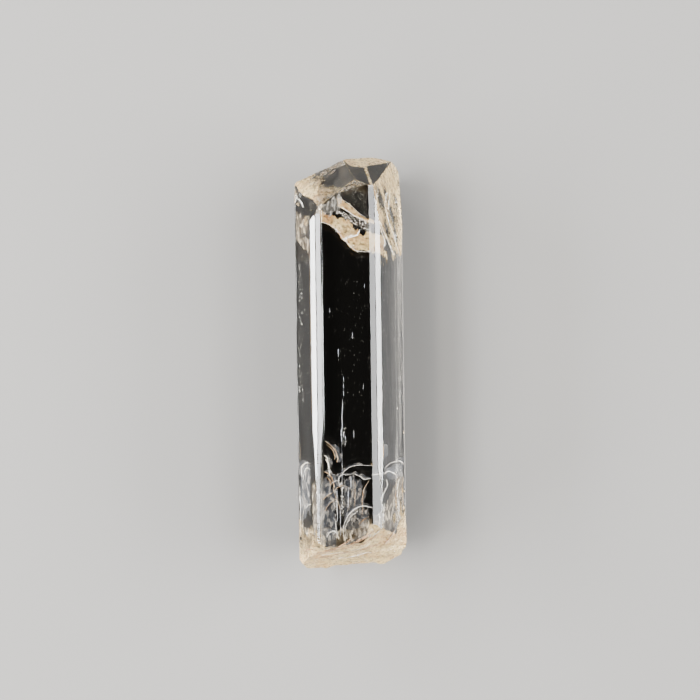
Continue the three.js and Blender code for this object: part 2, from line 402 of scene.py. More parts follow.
# ---- Chips, nicks and frosted skins ----
# Knocks have taken shallow shell-shaped chips off the rims and small nicks out of the long edges.
# Near the ends, a thin skin of the walls is etched away in islands.
CHIPS = [
    ((3.07, 9.9, 2.5), (1, 0.1, 0.15), 1.1, 0.1),
    ((-2.2, -10.8, 4.5), (-0.4, -0.6, 0.7), 1.3, 0.3),
    ((1.3, -9.4, 4.95), (0.2, -0.4, 0.9), 1.2, 0.12),
    ((3.12, -7, 2.2), (1, 0, 0.1), 1.3, 0.07),
    ((-3.15, -9.8, 2.8), (-1, -0.1, 0.1), 1.2, 0.08),
]
CHIP_ROUGHNESS = 0.012
NICK_COUNT = 20
NICK_RADIUS = (0.04, 0.1)
NICK_REACH = (-8.5, 7.5)
NICK_FLOOR = 1.2
NICK_SPACING = 0.4
NICK_ROUGHNESS = 0.12
SKIN_LIFT = 0.02
SKIN_DEPTH = 0.05
# Etched skins: the wall's look, where along Y the etching is strongest, how far it spreads and
# how closely it covers the wall.
SKINS = [
    (LEFT_SIDE_LOOK, 8.1, 0.4, 0.25),
    (LEFT_BEVEL_LOOK, 8.75, 0.45, 0.9),
    (UPPER_BEVEL_LOOK, 8.75, 0.45, 0.9),
    (RIGHT_SIDE_LOOK, 6.0, 1.1, 0.25),
    (LEFT_SIDE_LOOK, -10.3, 0.9, 0.3),
    (LOWER_SIDE_LOOK, -9.0, 1.7, 0.25),
]


def ball(place, radius, roughness, rng):
    """A lumpy little ball, for a chip or a nick."""
    shape = bmesh.new()
    bmesh.ops.create_icosphere(shape, subdivisions=3 if radius > 0.5 else 2, radius=radius)
    for vertex in shape.verts:
        vertex.co = vertex.co * (1 + roughness * rng.uniform(-1, 1)) + Vector(place)
    vertices = [tuple(v.co) for v in shape.verts]
    faces = [tuple(v.index for v in f.verts) for f in shape.faces]
    shape.free()
    return vertices, faces


def gather(parts):
    """One list of vertices and one of faces from several (vertices, faces) parts."""
    vertices, faces = [], []
    for part_vertices, part_faces in parts:
        first = len(vertices)
        vertices.extend(part_vertices)
        faces.extend(tuple(first + i for i in face) for face in part_faces)
    return vertices, faces


def edge_nicks(rng):
    """Small balls along the long edges that show, a little sunk into them."""
    corners = section_corners()
    upper = [i for i, corner in enumerate(corners) if corner[1] > NICK_FLOOR]
    parts = []
    taken = []
    while len(parts) < NICK_COUNT:
        corner = rng.choice(upper)
        y = rng.uniform(*NICK_REACH)
        if any(other == corner and abs(y - far) < NICK_SPACING for other, far in taken):
            continue
        taken.append((corner, y))
        radius = rng.uniform(*NICK_RADIUS)
        x, z = corners[corner]
        just_outside = (x * 1.012, y, z * 1.006 + 0.01)
        parts.append(ball(just_outside, radius, NICK_ROUGHNESS, rng))
    return parts


def skin_block(look, middle_y, spread, cover):
    """A block that just brushes a wall, so that it etches islands where its relief dips."""
    corners = section_corners()
    index = [wall[0] for wall in WALLS].index(look)
    middle = (corners[index] + corners[(index + 1) % len(corners)]) / 2
    turn = math.radians(look)
    # Tipped a hair along Y, so that no row of the block's grid lies along a ring of the prism.
    outward = np.array([math.sin(turn), 1e-4, math.cos(turn)])
    outward /= np.linalg.norm(outward)

    def islands(points):
        near = np.exp(-(((points[:, 1] - middle_y) / spread) ** 2))
        stretched = points * np.array([1, 0.45, 1])
        patch = unevenness(stretched, 0.34) + 0.6 * unevenness(stretched, 0.16)
        return SKIN_LIFT - SKIN_DEPTH * near * np.clip(patch + cover, 0, 1)

    place = np.array([middle[0], middle_y, middle[1]])
    return cutting_block("skin block", outward, place, islands)


dents = random.Random(11)
for place, look, radius, depth in CHIPS:
    outward = Vector(look).normalized()
    centre = Vector(place) + outward * (radius - depth)
    carve(phenakite, piece_from("chip", *ball(centre, radius, CHIP_ROUGHNESS, dents)), "chip")
carve(phenakite, piece_from("nicks", *gather(edge_nicks(dents))), "nick")
for look, middle_y, spread, cover in SKINS:
    carve(phenakite, skin_block(look, middle_y, spread, cover), "skin")

# ---- Clear and frosted finishes ----
# The walls are clear, faintly champagne, and see-through, with hair-fine striations and a few
# pits. Etched and broken faces scatter light: they are creamy, mottled, and stained peach and
# rust where iron has soaked into them.
REFRACTION = 1.66
LAMP_THROUGH = (0.62, 0.62, 0.62, 1)
# The faces the crystal rests on let only 3% of the lamps' light through in shadow: a painted shadow
# under the crystal, far darker than clear glass casts.
LAMP_THROUGH_BASE = (0.03, 0.03, 0.03, 1)
CHAMPAGNE = (1, 0.99, 0.965, 1)
TINT = (0.95, 0.92, 0.87, 1)
TINT_DENSITY = 8
PALE_FROST = (0.9, 0.7, 0.37, 1)
DULL_FROST = (0.42, 0.29, 0.15, 1)
# The colour of painted glints: pale specks in the frost's colour that stand in for its sparkle.
PAINTED_GLINT_FROST = (1, 0.94, 0.8, 1)
PEACH = (0.68, 0.42, 0.2, 1)
RUST = (0.36, 0.16, 0.06, 1)


def add(tree, kind, settings=None, **inputs):
    """A node in the tree. An input goes by its name, or by _ and its number, and is given as a
    value or as a socket to link from."""
    node = tree.nodes.new(kind)
    for key, value in (settings or {}).items():
        setattr(node, key, value)
    for name, value in inputs.items():
        socket = node.inputs[int(name[1:]) if name[0] == "_" else name.replace("_", " ")]
        if isinstance(value, bpy.types.NodeSocket):
            tree.links.new(value, socket)
        else:
            socket.default_value = value
    return node


def group_with(name, inputs, outputs):
    """A shader node group with those sockets, and its two end nodes."""
    tree = bpy.data.node_groups.new(name, "ShaderNodeTree")
    for label, kind in inputs:
        tree.interface.new_socket(label, in_out="INPUT", socket_type="NodeSocket" + kind)
    for label, kind in outputs:
        tree.interface.new_socket(label, in_out="OUTPUT", socket_type="NodeSocket" + kind)
    return tree, tree.nodes.new("NodeGroupInput"), tree.nodes.new("NodeGroupOutput")


def millimetres(tree):
    """The place on the piece, in millimetres."""
    place = add(tree, "ShaderNodeTexCoord")
    scaled = add(tree, "ShaderNodeVectorMath", {"operation": "SCALE"},
                 _0=place.outputs["Object"], Scale=1 / MM)
    return scaled.outputs[0]


def stretched(tree, vector, scale):
    """The vector with each of its three parts scaled."""
    node = add(tree, "ShaderNodeVectorMath", {"operation": "MULTIPLY"}, _0=vector, _1=scale)
    return node.outputs[0]


def ranged(tree, value, low, high, bottom=0.0, top=1.0):
    """The value taken from low..high to bottom..top, smoothly and held at both ends."""
    node = add(tree, "ShaderNodeMapRange", {"interpolation_type": "SMOOTHSTEP"}, Value=value,
               From_Min=low, From_Max=high, To_Min=bottom, To_Max=top)
    return node.outputs[0]


def calculated(tree, operation, a, b):
    """What one operation makes of two values."""
    return add(tree, "ShaderNodeMath", {"operation": operation}, _0=a, _1=b).outputs[0]


def blended(tree, factor, a, b):
    """A colour between a and b."""
    node = add(tree, "ShaderNodeMix", {"data_type": "RGBA"}, _0=factor, _6=a, _7=b)
    return node.outputs[2]


def make_mottle():
    """Uneven frost: cream with painted glints and darker pores, peach patches and streaks of rust."""
    tree, start, end = group_with(
        "mottle",
        [("Place", "Vector"), ("Patch Place", "Vector"), ("Patch Scale", "Float"),
         ("Pores", "Float"), ("Stain", "Float"), ("Rust", "Float")],
        [("Color", "Color"), ("Roughness", "Float"), ("Height", "Float")],
    )
    place, patch_place, patch_scale, depth, stain, rust = start.outputs[:6]
    patches = add(tree, "ShaderNodeTexNoise", Vector=patch_place, Scale=patch_scale, Detail=4.0)
    broad = patches.outputs[0]
    cloud = add(tree, "ShaderNodeTexNoise", Vector=place, Scale=1.5, Detail=3.0).outputs[0]
    fine = add(tree, "ShaderNodeTexNoise", Vector=place, Scale=6.0, Detail=5.0).outputs[0]
    grit = add(tree, "ShaderNodeTexVoronoi", Vector=place, Scale=5.0).outputs["Distance"]
    peach = calculated(tree, "MULTIPLY", ranged(tree, broad, 0.43, 0.62), stain)
    rusty = calculated(tree, "MULTIPLY", ranged(tree, broad, 0.6, 0.7), rust)
    clouded = ranged(tree, cloud, 0.3, 0.58)
    pores = calculated(tree, "MULTIPLY", ranged(tree, fine, 0.32, 0.53), clouded)
    pored = calculated(tree, "MULTIPLY", calculated(tree, "SUBTRACT", 1.0, pores), depth)
    dusted = blended(tree, pored, PALE_FROST, DULL_FROST)
    warm = blended(tree, peach, dusted, PEACH)
    stained = blended(tree, rusty, warm, RUST)
    # Painted glints: pale specks in the colour, standing in for sparkle.
    painted_glint = calculated(tree, "MULTIPLY", ranged(tree, grit, 0.06, 0.22, 0.8, 0.0), pores)
    tree.links.new(blended(tree, painted_glint, stained, PAINTED_GLINT_FROST), end.inputs["Color"])
    tree.links.new(ranged(tree, fine, 0.35, 0.65, 0.15, 0.55), end.inputs["Roughness"])
    rough = calculated(tree, "ADD", fine, calculated(tree, "MULTIPLY", grit, 0.6))
    tree.links.new(rough, end.inputs["Height"])
    return tree


def make_growth_lines():
    """Hair-fine striations along a wall, and scattered pits and scuffs."""
    tree, start, end = group_with(
        "growth lines",
        [("Place", "Vector"), ("Lines", "Float"), ("Pits", "Float")],
        [("Roughness", "Float"), ("Height", "Float")],
    )
    place, lines, pits = start.outputs[:3]
    along = stretched(tree, place, (9.0, 0.22, 9.0))
    streak = add(tree, "ShaderNodeTexNoise", Vector=along, Scale=1.0, Detail=2.0).outputs[0]
    spread = stretched(tree, place, (3.2, 1.6, 3.2))
    dots = add(tree, "ShaderNodeTexVoronoi", Vector=spread, Scale=1.0).outputs["Distance"]
    pit = calculated(tree, "MULTIPLY", ranged(tree, dots, 0.02, 0.09, 1.0, 0.0), pits)
    height = calculated(tree, "MULTIPLY", streak, lines)
    tree.links.new(calculated(tree, "SUBTRACT", height, pit), end.inputs["Height"])
    tree.links.new(calculated(tree, "MULTIPLY", pit, 0.5), end.inputs["Roughness"])
    return tree


mottle = make_mottle()
growth_lines = make_growth_lines()


def glassy(name, transmission, through=LAMP_THROUGH):
    """A see-through material whose shadow lets part of the lamps' light through."""
    material = bpy.data.materials.new(name)
    material.use_nodes = True
    tree = material.node_tree
    surface = tree.nodes["Principled BSDF"]
    surface.inputs["IOR"].default_value = REFRACTION
    surface.inputs["Transmission Weight"].default_value = transmission
    passing = add(tree, "ShaderNodeBsdfTransparent", Color=through)
    ray = add(tree, "ShaderNodeLightPath")
    either = add(tree, "ShaderNodeMixShader", _0=ray.outputs["Is Shadow Ray"])
    tree.links.new(surface.outputs[0], either.inputs[1])
    tree.links.new(passing.outputs[0], either.inputs[2])
    tree.links.new(either.outputs[0], tree.nodes["Material Output"].inputs["Surface"])
    body = add(tree, "ShaderNodeVolumeAbsorption", Color=TINT, Density=float(TINT_DENSITY))
    tree.links.new(body.outputs[0], tree.nodes["Material Output"].inputs["Volume"])
    return material, tree, surface


def bumped(tree, surface, height, strength, distance):
    """Fine relief on a surface, the distance in millimetres."""
    bump = add(tree, "ShaderNodeBump", Height=height, Strength=strength, Distance=distance * MM)
    tree.links.new(bump.outputs[0], surface.inputs["Normal"])


def clear_finish(name, through=LAMP_THROUGH):
    """A water-clear grown wall."""
    material, tree, surface = glassy(name, 1.0, through)
    lines = add(tree, "ShaderNodeGroup", {"node_tree": growth_lines},
                Place=millimetres(tree), Lines=0.35, Pits=0.5)
    surface.inputs["Base Color"].default_value = CHAMPAGNE
    tree.links.new(lines.outputs["Roughness"], surface.inputs["Roughness"])
    bumped(tree, surface, lines.outputs["Height"], 0.3, 0.01)
    return material


def painted_sheen_finish(name, transmission):
    """A painted reflection: a faint milky bloom on a wall that stands in for the grey light it
    reflects, in fine streaks along it.
    """
    material, tree, surface = glassy(name, transmission)
    sheen_streak_place = stretched(tree, millimetres(tree), (5.0, 0.5, 5.0))
    sheen_streaks = add(tree, "ShaderNodeTexNoise", Vector=sheen_streak_place, Scale=1.0, Detail=4.0).outputs[0]
    colour = blended(tree, ranged(tree, sheen_streaks, 0.3, 0.7), (0.8, 0.82, 0.86, 1), (1, 1, 1, 1))
    tree.links.new(colour, surface.inputs["Base Color"])
    tree.links.new(ranged(tree, sheen_streaks, 0.3, 0.7, 0.02, 0.12), surface.inputs["Roughness"])
    bumped(tree, surface, sheen_streaks, 0.3, 0.01)
    return material


def drawn_out(tree, place, turn, lengths):
    """The place, turned about Z and then stretched, to draw a pattern out into streaks."""
    node = add(tree, "ShaderNodeMapping", {"vector_type": "TEXTURE"}, Vector=place,
               Rotation=(0, 0, turn), Scale=lengths)
    return node.outputs[0]


def frost_on(tree, surface, **inputs):
    """Links the mottle to a surface: its colour, its roughness and its fine relief."""
    frost = add(tree, "ShaderNodeGroup", {"node_tree": mottle}, **inputs)
    tree.links.new(frost.outputs["Color"], surface.inputs["Base Color"])
    tree.links.new(frost.outputs["Roughness"], surface.inputs["Roughness"])
    bumped(tree, surface, frost.outputs["Height"], 0.8, 0.04)
    return frost


def frosted_finish(name, transmission, grain_streak, patch_streak, scale, pores, stain, rust):
    """An etched or broken face. Each streak is a turn and the lengths that draw a pattern out."""
    material, tree, surface = glassy(name, transmission)
    place = millimetres(tree)
    grains = drawn_out(tree, place, *grain_streak)
    patches = drawn_out(tree, place, *patch_streak)
    frost_on(tree, surface, Place=grains, Patch_Place=patches, Patch_Scale=scale, Pores=pores,
             Stain=stain, Rust=rust)
    return material


EVEN = (0, (1, 1, 1))
SWEPT = (0.25, (0.4, 2.2, 1))
LEVEL = (-0.12, (2.4, 0.5, 1))
SPLIT = (-0.12, (1.6, 0.7, 1))
# A frosted finish: how much light it lets in, the streaks of its grain and of its patches, the
# scale of the patches, how deep its pores are, and how much stain and rust it holds.
FINISHES = {
    "clear": clear_finish("clear phenakite"),
    "resting": clear_finish("resting phenakite", LAMP_THROUGH_BASE),
    "rubbed": painted_sheen_finish("rubbed phenakite", 0.955),
    "hazed": frosted_finish("hazed phenakite", 0.92, EVEN, EVEN, 1.1, 0.5, 0.3, 0.0),
    "misted": frosted_finish("misted phenakite", 0.75, EVEN, EVEN, 1.1, 0.5, 0.5, 0.1),
    "etched": frosted_finish("etched phenakite", 0.45, EVEN, EVEN, 0.9, 0.6, 0.6, 0.3),
    "streaked": frosted_finish("streaked phenakite", 0.45, SWEPT, SWEPT, 0.6, 0.7, 0.3, 0.1),
    "broken": frosted_finish("broken phenakite", 0.35, SPLIT, LEVEL, 0.7, 0.6, 0.6, 0.6),
}
SHARP_ANGLE = 24
RESTING_TILT = -0.4
PAINTED_SHEEN_TILT = 0.8
FROST_SLANT = 1.2
FROST_TURN = 9.4
FROST_FADE = 0.9
FROST_CORNER = 9.7
FROST_THINNING = 1.1
STREAK_LEAN = 0.22
RIM_LINE = -10.2
FLAKE_LINE = -10.6
RIM_SLANT = 0.3
# Clear windows in the streaked shoulder: x, y, half its length, half its width.
WINDOWS = [
    (2.06, 9.6, 0.5, 0.09),
    (1.78, 9.2, 0.65, 0.14),
    (2.42, 8.4, 0.55, 0.12),
    (2.7, 9.3, 0.4, 0.07),
    (2.12, 7.5, 0.45, 0.1),
    (2.66, 7.2, 0.35, 0.07),
]


def frost_pattern(points, drawn_out):
    """Patchy strength of the frost at each point, about -1 to 1."""
    places = points * np.array(drawn_out)
    return (0.6 * unevenness(places, 0.5) + 0.5 * unevenness(places, 0.2)
            + 0.4 * unevenness(places, 0.09))


def frost_levels(centres):
    """For each region, how far the frost has gone at each point, and the finishes that it comes
    to, each with the level that it starts at."""
    x, y = centres[:, 0], centres[:, 1]
    even = frost_pattern(centres, (1, 1, 1))
    shoulder = (SHOULDER_EDGE - FROST_SLANT * np.maximum(0, y - FROST_TURN) - x) / FROST_FADE
    shoulder = shoulder - FROST_THINNING * np.maximum(0, FROST_CORNER - y)
    swept = np.column_stack([x + STREAK_LEAN * y, y, 0 * x])
    windows = sum(np.exp(-(((x + STREAK_LEAN * (y - v) - u) / wide) ** 2) - ((y - v) / long) ** 2)
                  for u, v, long, wide in WINDOWS)
    near_rim = (RIM_LINE + RIM_SLANT * x - y) / FROST_FADE
    ridge = 1 - off_ridge(centres) / RIDGE_WIDTH
    return {
        "shoulder": (shoulder + even, (("hazed", -0.2), ("misted", 0.35), ("etched", 1.1))),
        "clear": (ridge + 0.3 * even, (("hazed", -0.6), ("etched", 0.1))),
        "streaked": (frost_pattern(swept, (2.4, 0.35, 1)) + 0.3 - 2.5 * windows,
                     (("hazed", -0.9), ("misted", -0.3), ("streaked", 0.05))),
        "broken": (0.5 * frost_pattern(centres, (0.4, 1.3, 1)) + near_rim,
                   (("misted", -9), ("broken", 0))),
        "facet": (even, (("hazed", 0.5), ("misted", 0.8), ("etched", 1.2))),
        "skin": (frost_pattern(centres, (1, 0.4, 1)),
                 (("hazed", -9), ("misted", 0.1), ("etched", 0.45))),
        "nick": (even, (("clear", -9), ("hazed", 0.2))),
        "flaked": (0.7 * even + (FLAKE_LINE - y) / FROST_FADE,
                   (("hazed", -9), ("misted", -0.1), ("broken", 0.6))),
        "under": (even, (("clear", -9), ("hazed", 0.5), ("misted", 0.9))),
        "other": (even, (("misted", -9), ("etched", -0.3))),
    }


def worn_and_highlight_rims(shape, regions):
    """Makes edges sharp where regions meet or the surface bends. Gives the rim faces to be frosted, as
    wear and as a painted highlight.
    """
    worn_and_highlight = set()
    for edge in shape.edges:
        if len(edge.link_faces) == 2:
            a, b = edge.link_faces
            apart = regions[a.material_index] != regions[b.material_index]
            bent = edge.calc_face_angle(0) > math.radians(SHARP_ANGLE)
            edge.smooth = not (apart or bent)
            if apart and bent:
                worn_and_highlight.add(min(a, b, key=lambda face: face.calc_area()).index)
    return worn_and_highlight


def finish_faces(crystal):
    """Gives each face its finish, sharp edges between regions, worn rims, and plain triangles."""
    mesh = crystal.data
    # A region's material is named "region broken", and the next ones "region broken.001" and on.
    regions = [material.name.split(" ")[1].split(".")[0] for material in mesh.materials]
    shape = bmesh.new()
    shape.from_mesh(mesh)
    bmesh.ops.triangulate(shape, faces=shape.faces[:])
    worn_and_highlight = worn_and_highlight_rims(shape, regions)
    centres = np.array([face.calc_center_median() for face in shape.faces]) / MM
    levels = frost_levels(centres)
    names = list(FINISHES)
    for face in shape.faces:
        region = regions[face.material_index]
        finish = "clear"
        if region != "wall":
            level, steps = levels.get(region, levels["other"])
            for name, start in steps:
                if level[face.index] > start:
                    finish = name
        # Rim faces take the etched frost: partly wear, partly a painted highlight of the bright rim
        # lines.
        if face.index in worn_and_highlight:
            finish = "etched"
        # Downward clear faces take the resting finish, whose near-black shadow is painted shade on the
        # floor under the crystal.
        if finish == "clear" and face.normal.z < RESTING_TILT:
            finish = "resting"
        # Right-facing walls get the painted sheen that stands in for the grey light they reflect.
        if region == "wall" and face.normal.x > PAINTED_SHEEN_TILT and face.normal.z > 0:
            finish = "rubbed"
        face.smooth = finish in ("hazed", "misted")
        face.material_index = names.index(finish)
    mesh.materials.clear()
    for name in names:
        mesh.materials.append(FINISHES[name])
    shape.to_mesh(mesh)
    shape.free()


def settle(crystal):
    """Puts the crystal where the CAD solid is: same middle, same resting plane."""
    low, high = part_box("phenakite_crystal")
    corners = np.array([vertex.co for vertex in crystal.data.vertices])
    shift = (Vector(low) + Vector(high)) / 2 - Vector((corners.min(0) + corners.max(0)) / 2)
    shift.z = low.z - corners[:, 2].min()
    for vertex in crystal.data.vertices:
        vertex.co += shift


finish_faces(phenakite)
settle(phenakite)
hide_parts("phenakite_crystal")
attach(phenakite, "root")

# ---- The fracture under the far end ----
# An old knock opened a stepped fracture under the great end face. Its treads are thin creamy
# sheets inside the crystal, with bright broken edges, and the glassy risers between them glint.
# The edges and the glints are small pieces whose brightness is a painted glow.
SHEET_THICKNESS = 0.012
# Lines are set out as someone above sees them, (x, y, depth), so they are drawn in a little
# towards the middle: a near eye sees the raised top face larger than it is.
DRAWN_IN = 0.977
VIEW_MIDDLE = 0.8
WELL_ABOVE = 9


def skin_tree(crystal):
    """The crystal's finished surface in millimetres, to hang its inner marks under."""
    vertices = [vertex.co / MM for vertex in crystal.data.vertices]
    return BVHTree.FromPolygons(vertices, [tuple(face.vertices) for face in crystal.data.polygons])


skin = skin_tree(phenakite)


def under(points):
    """Places (x, y, depth) points that far below the crystal's upper surface."""
    placed = []
    for x, y, depth in points:
        x, y = x * DRAWN_IN, VIEW_MIDDLE + (y - VIEW_MIDDLE) * DRAWN_IN
        hit = skin.ray_cast(Vector((x, y, WELL_ABOVE)), Vector((0, 0, -1)))[0]
        if hit is None:
            # Beyond the outline: back to the nearest place, just inside it.
            hit = skin.find_nearest(Vector((x, y, MIDDLE_HEIGHT)))[0]
            x, y = hit.x * 0.995, hit.y
        placed.append((x, y, max(hit.z - depth, 0.05)))
    return np.array(placed)


def smooth_path(points, count):
    """A smooth line of that many points through a few given ones."""
    points = np.asarray(points, float)
    padded = np.vstack([2 * points[0] - points[1], points, 2 * points[-1] - points[-2]])
    path = []
    for at in np.linspace(0, len(points) - 1, count):
        i = min(int(at), len(points) - 2)
        t = at - i
        a, b, c, d = padded[i:i + 4]
        path.append(0.5 * (2 * b + (c - a) * t + (2 * a - 5 * b + 4 * c - d) * t * t
                           + (3 * b - a - 3 * c + d) * t ** 3))
    return np.array(path)


def shell(grid, thickness):
    """A closed thin shell over a grid of points."""
    rows, columns = grid.shape[:2]
    down, along = np.gradient(grid, axis=0), np.gradient(grid, axis=1)
    normal = np.cross(down, along)
    normal /= np.linalg.norm(normal, axis=2, keepdims=True) + 1e-9
    top, bottom = grid + normal * thickness / 2, grid - normal * thickness / 2
    index = np.arange(rows * columns).reshape(rows, columns)
    faces = []
    for i in range(rows - 1):
        for j in range(columns - 1):
            a, b, c, d = index[i, j], index[i + 1, j], index[i + 1, j + 1], index[i, j + 1]
            faces.append((a, b, c, d))
            faces.append(tuple(k + rows * columns for k in (d, c, b, a)))
    border = [*index[0, :-1], *index[:-1, -1], *index[-1, :0:-1], *index[:0:-1, 0]]
    for a, b in zip(border, border[1:] + border[:1]):
        faces.append((a, b, b + rows * columns, a + rows * columns))
    return np.vstack([top.reshape(-1, 3), bottom.reshape(-1, 3)]), [
        tuple(int(k) for k in face) for face in faces]


def sheet(rim, foot, ragged, relief, along=64, across=14, thickness=SHEET_THICKNESS):
    """A thin uneven sheet between two given lines of (x, y, depth), with ragged borders."""
    start, end = smooth_path(rim, along), smooth_path(foot, along)
    rows = []
    for share in np.linspace(0, 1, across + 1):
        line = start + (end - start) * share
        wander = 0.6 * unevenness(line, 0.4) + 0.7 * unevenness(line, 0.17)
        wander = wander + 0.5 * unevenness(line, 0.08)
        near_border = abs(2 * share - 1) ** 2
        line = line + (end - start) * (ragged * wander * near_border)[:, None] * (share - 0.5) * 2
        rows.append(line)
    grid = np.array(rows)
    placed = under(grid.reshape(-1, 3))
    placed[:, 2] += relief * (unevenness(placed, 0.3) + 0.5 * unevenness(placed, 0.13)) - relief
    return shell(placed.reshape(grid.shape), thickness)


def inner_piece(name, parts, material):
    """One smooth piece in or on the crystal, which goes where the crystal goes."""
    piece = piece_from(name, *gather(parts))
    piece.data.materials.append(material)
    for face in piece.data.polygons:
        face.use_smooth = True
    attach(piece, "root")
    return piece


def plain_principled(name, roughness, painted_glow):
    """A solid surface inside the crystal, whose painted glow stands in for the light that total
    reflection lends it.
    """
    material = bpy.data.materials.new(name)
    material.use_nodes = True
    tree = material.node_tree
    surface = tree.nodes["Principled BSDF"]
    surface.inputs["Roughness"].default_value = roughness
    surface.inputs["Emission Strength"].default_value = painted_glow
    return material, tree, surface


def fracture_finish(name, stain, rust, painted_glow, thin):
    """Creamy fracture: mottled, stained, with a painted glow, and here and there so thin that one sees
    through it.
    """
    material, tree, surface = plain_principled(name, 0.5, painted_glow)
    place = millimetres(tree)
    frost = frost_on(tree, surface, Place=place, Patch_Place=place, Patch_Scale=1.3, Pores=1.0,
                     Stain=stain, Rust=rust)
    # Painted glow: the frost's colour is also given out as light.
    tree.links.new(frost.outputs["Color"], surface.inputs["Emission Color"])
    gaps = add(tree, "ShaderNodeTexNoise", Vector=place, Scale=4.5, Detail=4.0).outputs[0]
    tree.links.new(ranged(tree, gaps, 0.3, 0.5, thin, 1.0), surface.inputs["Alpha"])
    return material


def make_crack_streaks():
    """A crack's rim: its colour runs along it in streaks, and it is thick and thin by turns."""
    tree, start, end = group_with(
        "crack streaks",
        [("Place", "Vector"), ("Pale", "Color"), ("Deep", "Color")],
        [("Color", "Color"), ("Roughness", "Float"), ("Alpha", "Float"), ("Height", "Float")],
    )
    place, pale, deep = start.outputs[:3]
    streak = add(tree, "ShaderNodeTexNoise", Vector=place, Scale=3.0, Detail=3.0).outputs[0]
    thin = add(tree, "ShaderNodeTexNoise", Vector=place, Scale=5.5, Detail=2.0).outputs[0]
    colour = blended(tree, ranged(tree, streak, 0.35, 0.65), pale, deep)
    tree.links.new(colour, end.inputs["Color"])
    tree.links.new(ranged(tree, streak, 0.3, 0.7, 0.2, 0.5), end.inputs["Roughness"])
    tree.links.new(ranged(tree, thin, 0.35, 0.55, 0.3, 1.0), end.inputs["Alpha"])
    tree.links.new(streak, end.inputs["Height"])
    return tree


def make_wisps():
    """Haze: fine stretched wisps with tiny dots, which one sees through."""
    tree, start, end = group_with(
        "wisps",
        [("Place", "Vector"), ("Most", "Float"), ("Pale", "Color"), ("Deep", "Color")],
        [("Color", "Color"), ("Alpha", "Float"), ("Height", "Float")],
    )
    place, most, pale, deep = start.outputs[:4]
    along = stretched(tree, place, (3.4, 1.3, 3.4))
    noise = add(tree, "ShaderNodeTexNoise", Vector=along, Scale=1.7, Detail=8.0, Distortion=0.5)
    wisp = noise.outputs[0]
    dots = add(tree, "ShaderNodeTexVoronoi", Vector=place, Scale=7.0).outputs["Distance"]
    haze = ranged(tree, wisp, 0.46, 0.74, 0.05, most)
    dusted = calculated(tree, "MAXIMUM", haze, ranged(tree, dots, 0.04, 0.12, 0.5, 0.0))
    colour = blended(tree, ranged(tree, wisp, 0.4, 0.6), deep, pale)
    tree.links.new(colour, end.inputs["Color"])
    tree.links.new(dusted, end.inputs["Alpha"])
    tree.links.new(wisp, end.inputs["Height"])
    return tree


crack_streaks = make_crack_streaks()
wisps = make_wisps()


def crack_finish(name, pale, deep, painted_glow):
    """The rim of a crack, in streaks of two colours, which it also gives out as a painted glow."""
    material, tree, surface = plain_principled(name, 0.25, painted_glow)
    rim = add(tree, "ShaderNodeGroup", {"node_tree": crack_streaks},
              Place=millimetres(tree), Pale=pale, Deep=deep)
    tree.links.new(rim.outputs["Color"], surface.inputs["Base Color"])
    # Painted glow: the rim's colour is also given out as light.
    tree.links.new(rim.outputs["Color"], surface.inputs["Emission Color"])
    tree.links.new(rim.outputs["Roughness"], surface.inputs["Roughness"])
    tree.links.new(rim.outputs["Alpha"], surface.inputs["Alpha"])
    bumped(tree, surface, rim.outputs["Height"], 0.4, 0.02)
    return material


def veil_finish(name, most, painted_glow, pale=(0.95, 0.9, 0.83, 1), deep=(0.75, 0.82, 0.95, 1)):
    """A hazy veil, no denser than most, which gives out its colour as a painted glow."""
    material, tree, surface = plain_principled(name, 0.4, painted_glow)
    haze = add(tree, "ShaderNodeGroup", {"node_tree": wisps},
               Place=millimetres(tree), Most=most, Pale=pale, Deep=deep)
    tree.links.new(haze.outputs["Color"], surface.inputs["Base Color"])
    # Painted glow: the haze's colour is also given out as light.
    tree.links.new(haze.outputs["Color"], surface.inputs["Emission Color"])
    tree.links.new(haze.outputs["Alpha"], surface.inputs["Alpha"])
    bumped(tree, surface, haze.outputs["Height"], 0.5, 0.03)
    return material


fracture_cream = fracture_finish("fracture cream", stain=0.7, rust=0.6, painted_glow=0.12, thin=0.35)
fracture_white = crack_finish("fracture white", (1, 0.98, 0.94, 1), (0.9, 0.82, 0.7, 1), 0.7)
# The borders of the fracture's two treads: each rim is its far edge and each foot its near one.
LOWER_TREAD_FOOT = [
    (-1.56, 8.16, 0.2), (-1.2, 8.04, 0.25), (-0.85, 7.8, 0.28), (-0.57, 7.51, 0.3),
    (-0.4, 7.21, 0.3), (-0.22, 7.04, 0.3), (0.12, 6.69, 0.3), (0.46, 6.46, 0.35),
    (1.16, 6.44, 0.4), (1.8, 6.3, 0.5),
]
LOWER_TREAD_RIM = [
    (-1.66, 8.93, 0.3), (-1.36, 8.7, 0.4), (-1.05, 8.6, 0.5), (-0.79, 8.52, 0.6),
    (-0.2, 8.44, 0.7), (0.1, 8.05, 0.75), (0.32, 7.75, 0.8), (0.6, 7.56, 0.8),
    (1.12, 7.5, 0.85), (1.8, 7.35, 1.0),
]
UPPER_TREAD_RIM = [
    (-0.68, 9.62, 0.5), (-0.3, 9.45, 0.6), (0.17, 9.07, 0.7), (0.65, 8.63, 0.8),
    (1.0, 8.4, 0.9), (1.3, 8.25, 1.0),
]
UPPER_TREAD_FOOT = [
    (-0.62, 9.07, 0.4), (-0.3, 8.95, 0.5), (-0.02, 8.77, 0.55), (0.6, 8.4, 0.65),
    (1.0, 8.2, 0.8), (1.3, 8.1, 0.95),
]
WHITE_LEDGE = [
    (-0.42, 7.2), (-0.25, 7.12), (-0.03, 7.2), (0.3, 7.3), (0.54, 7.42), (0.66, 7.72),
]
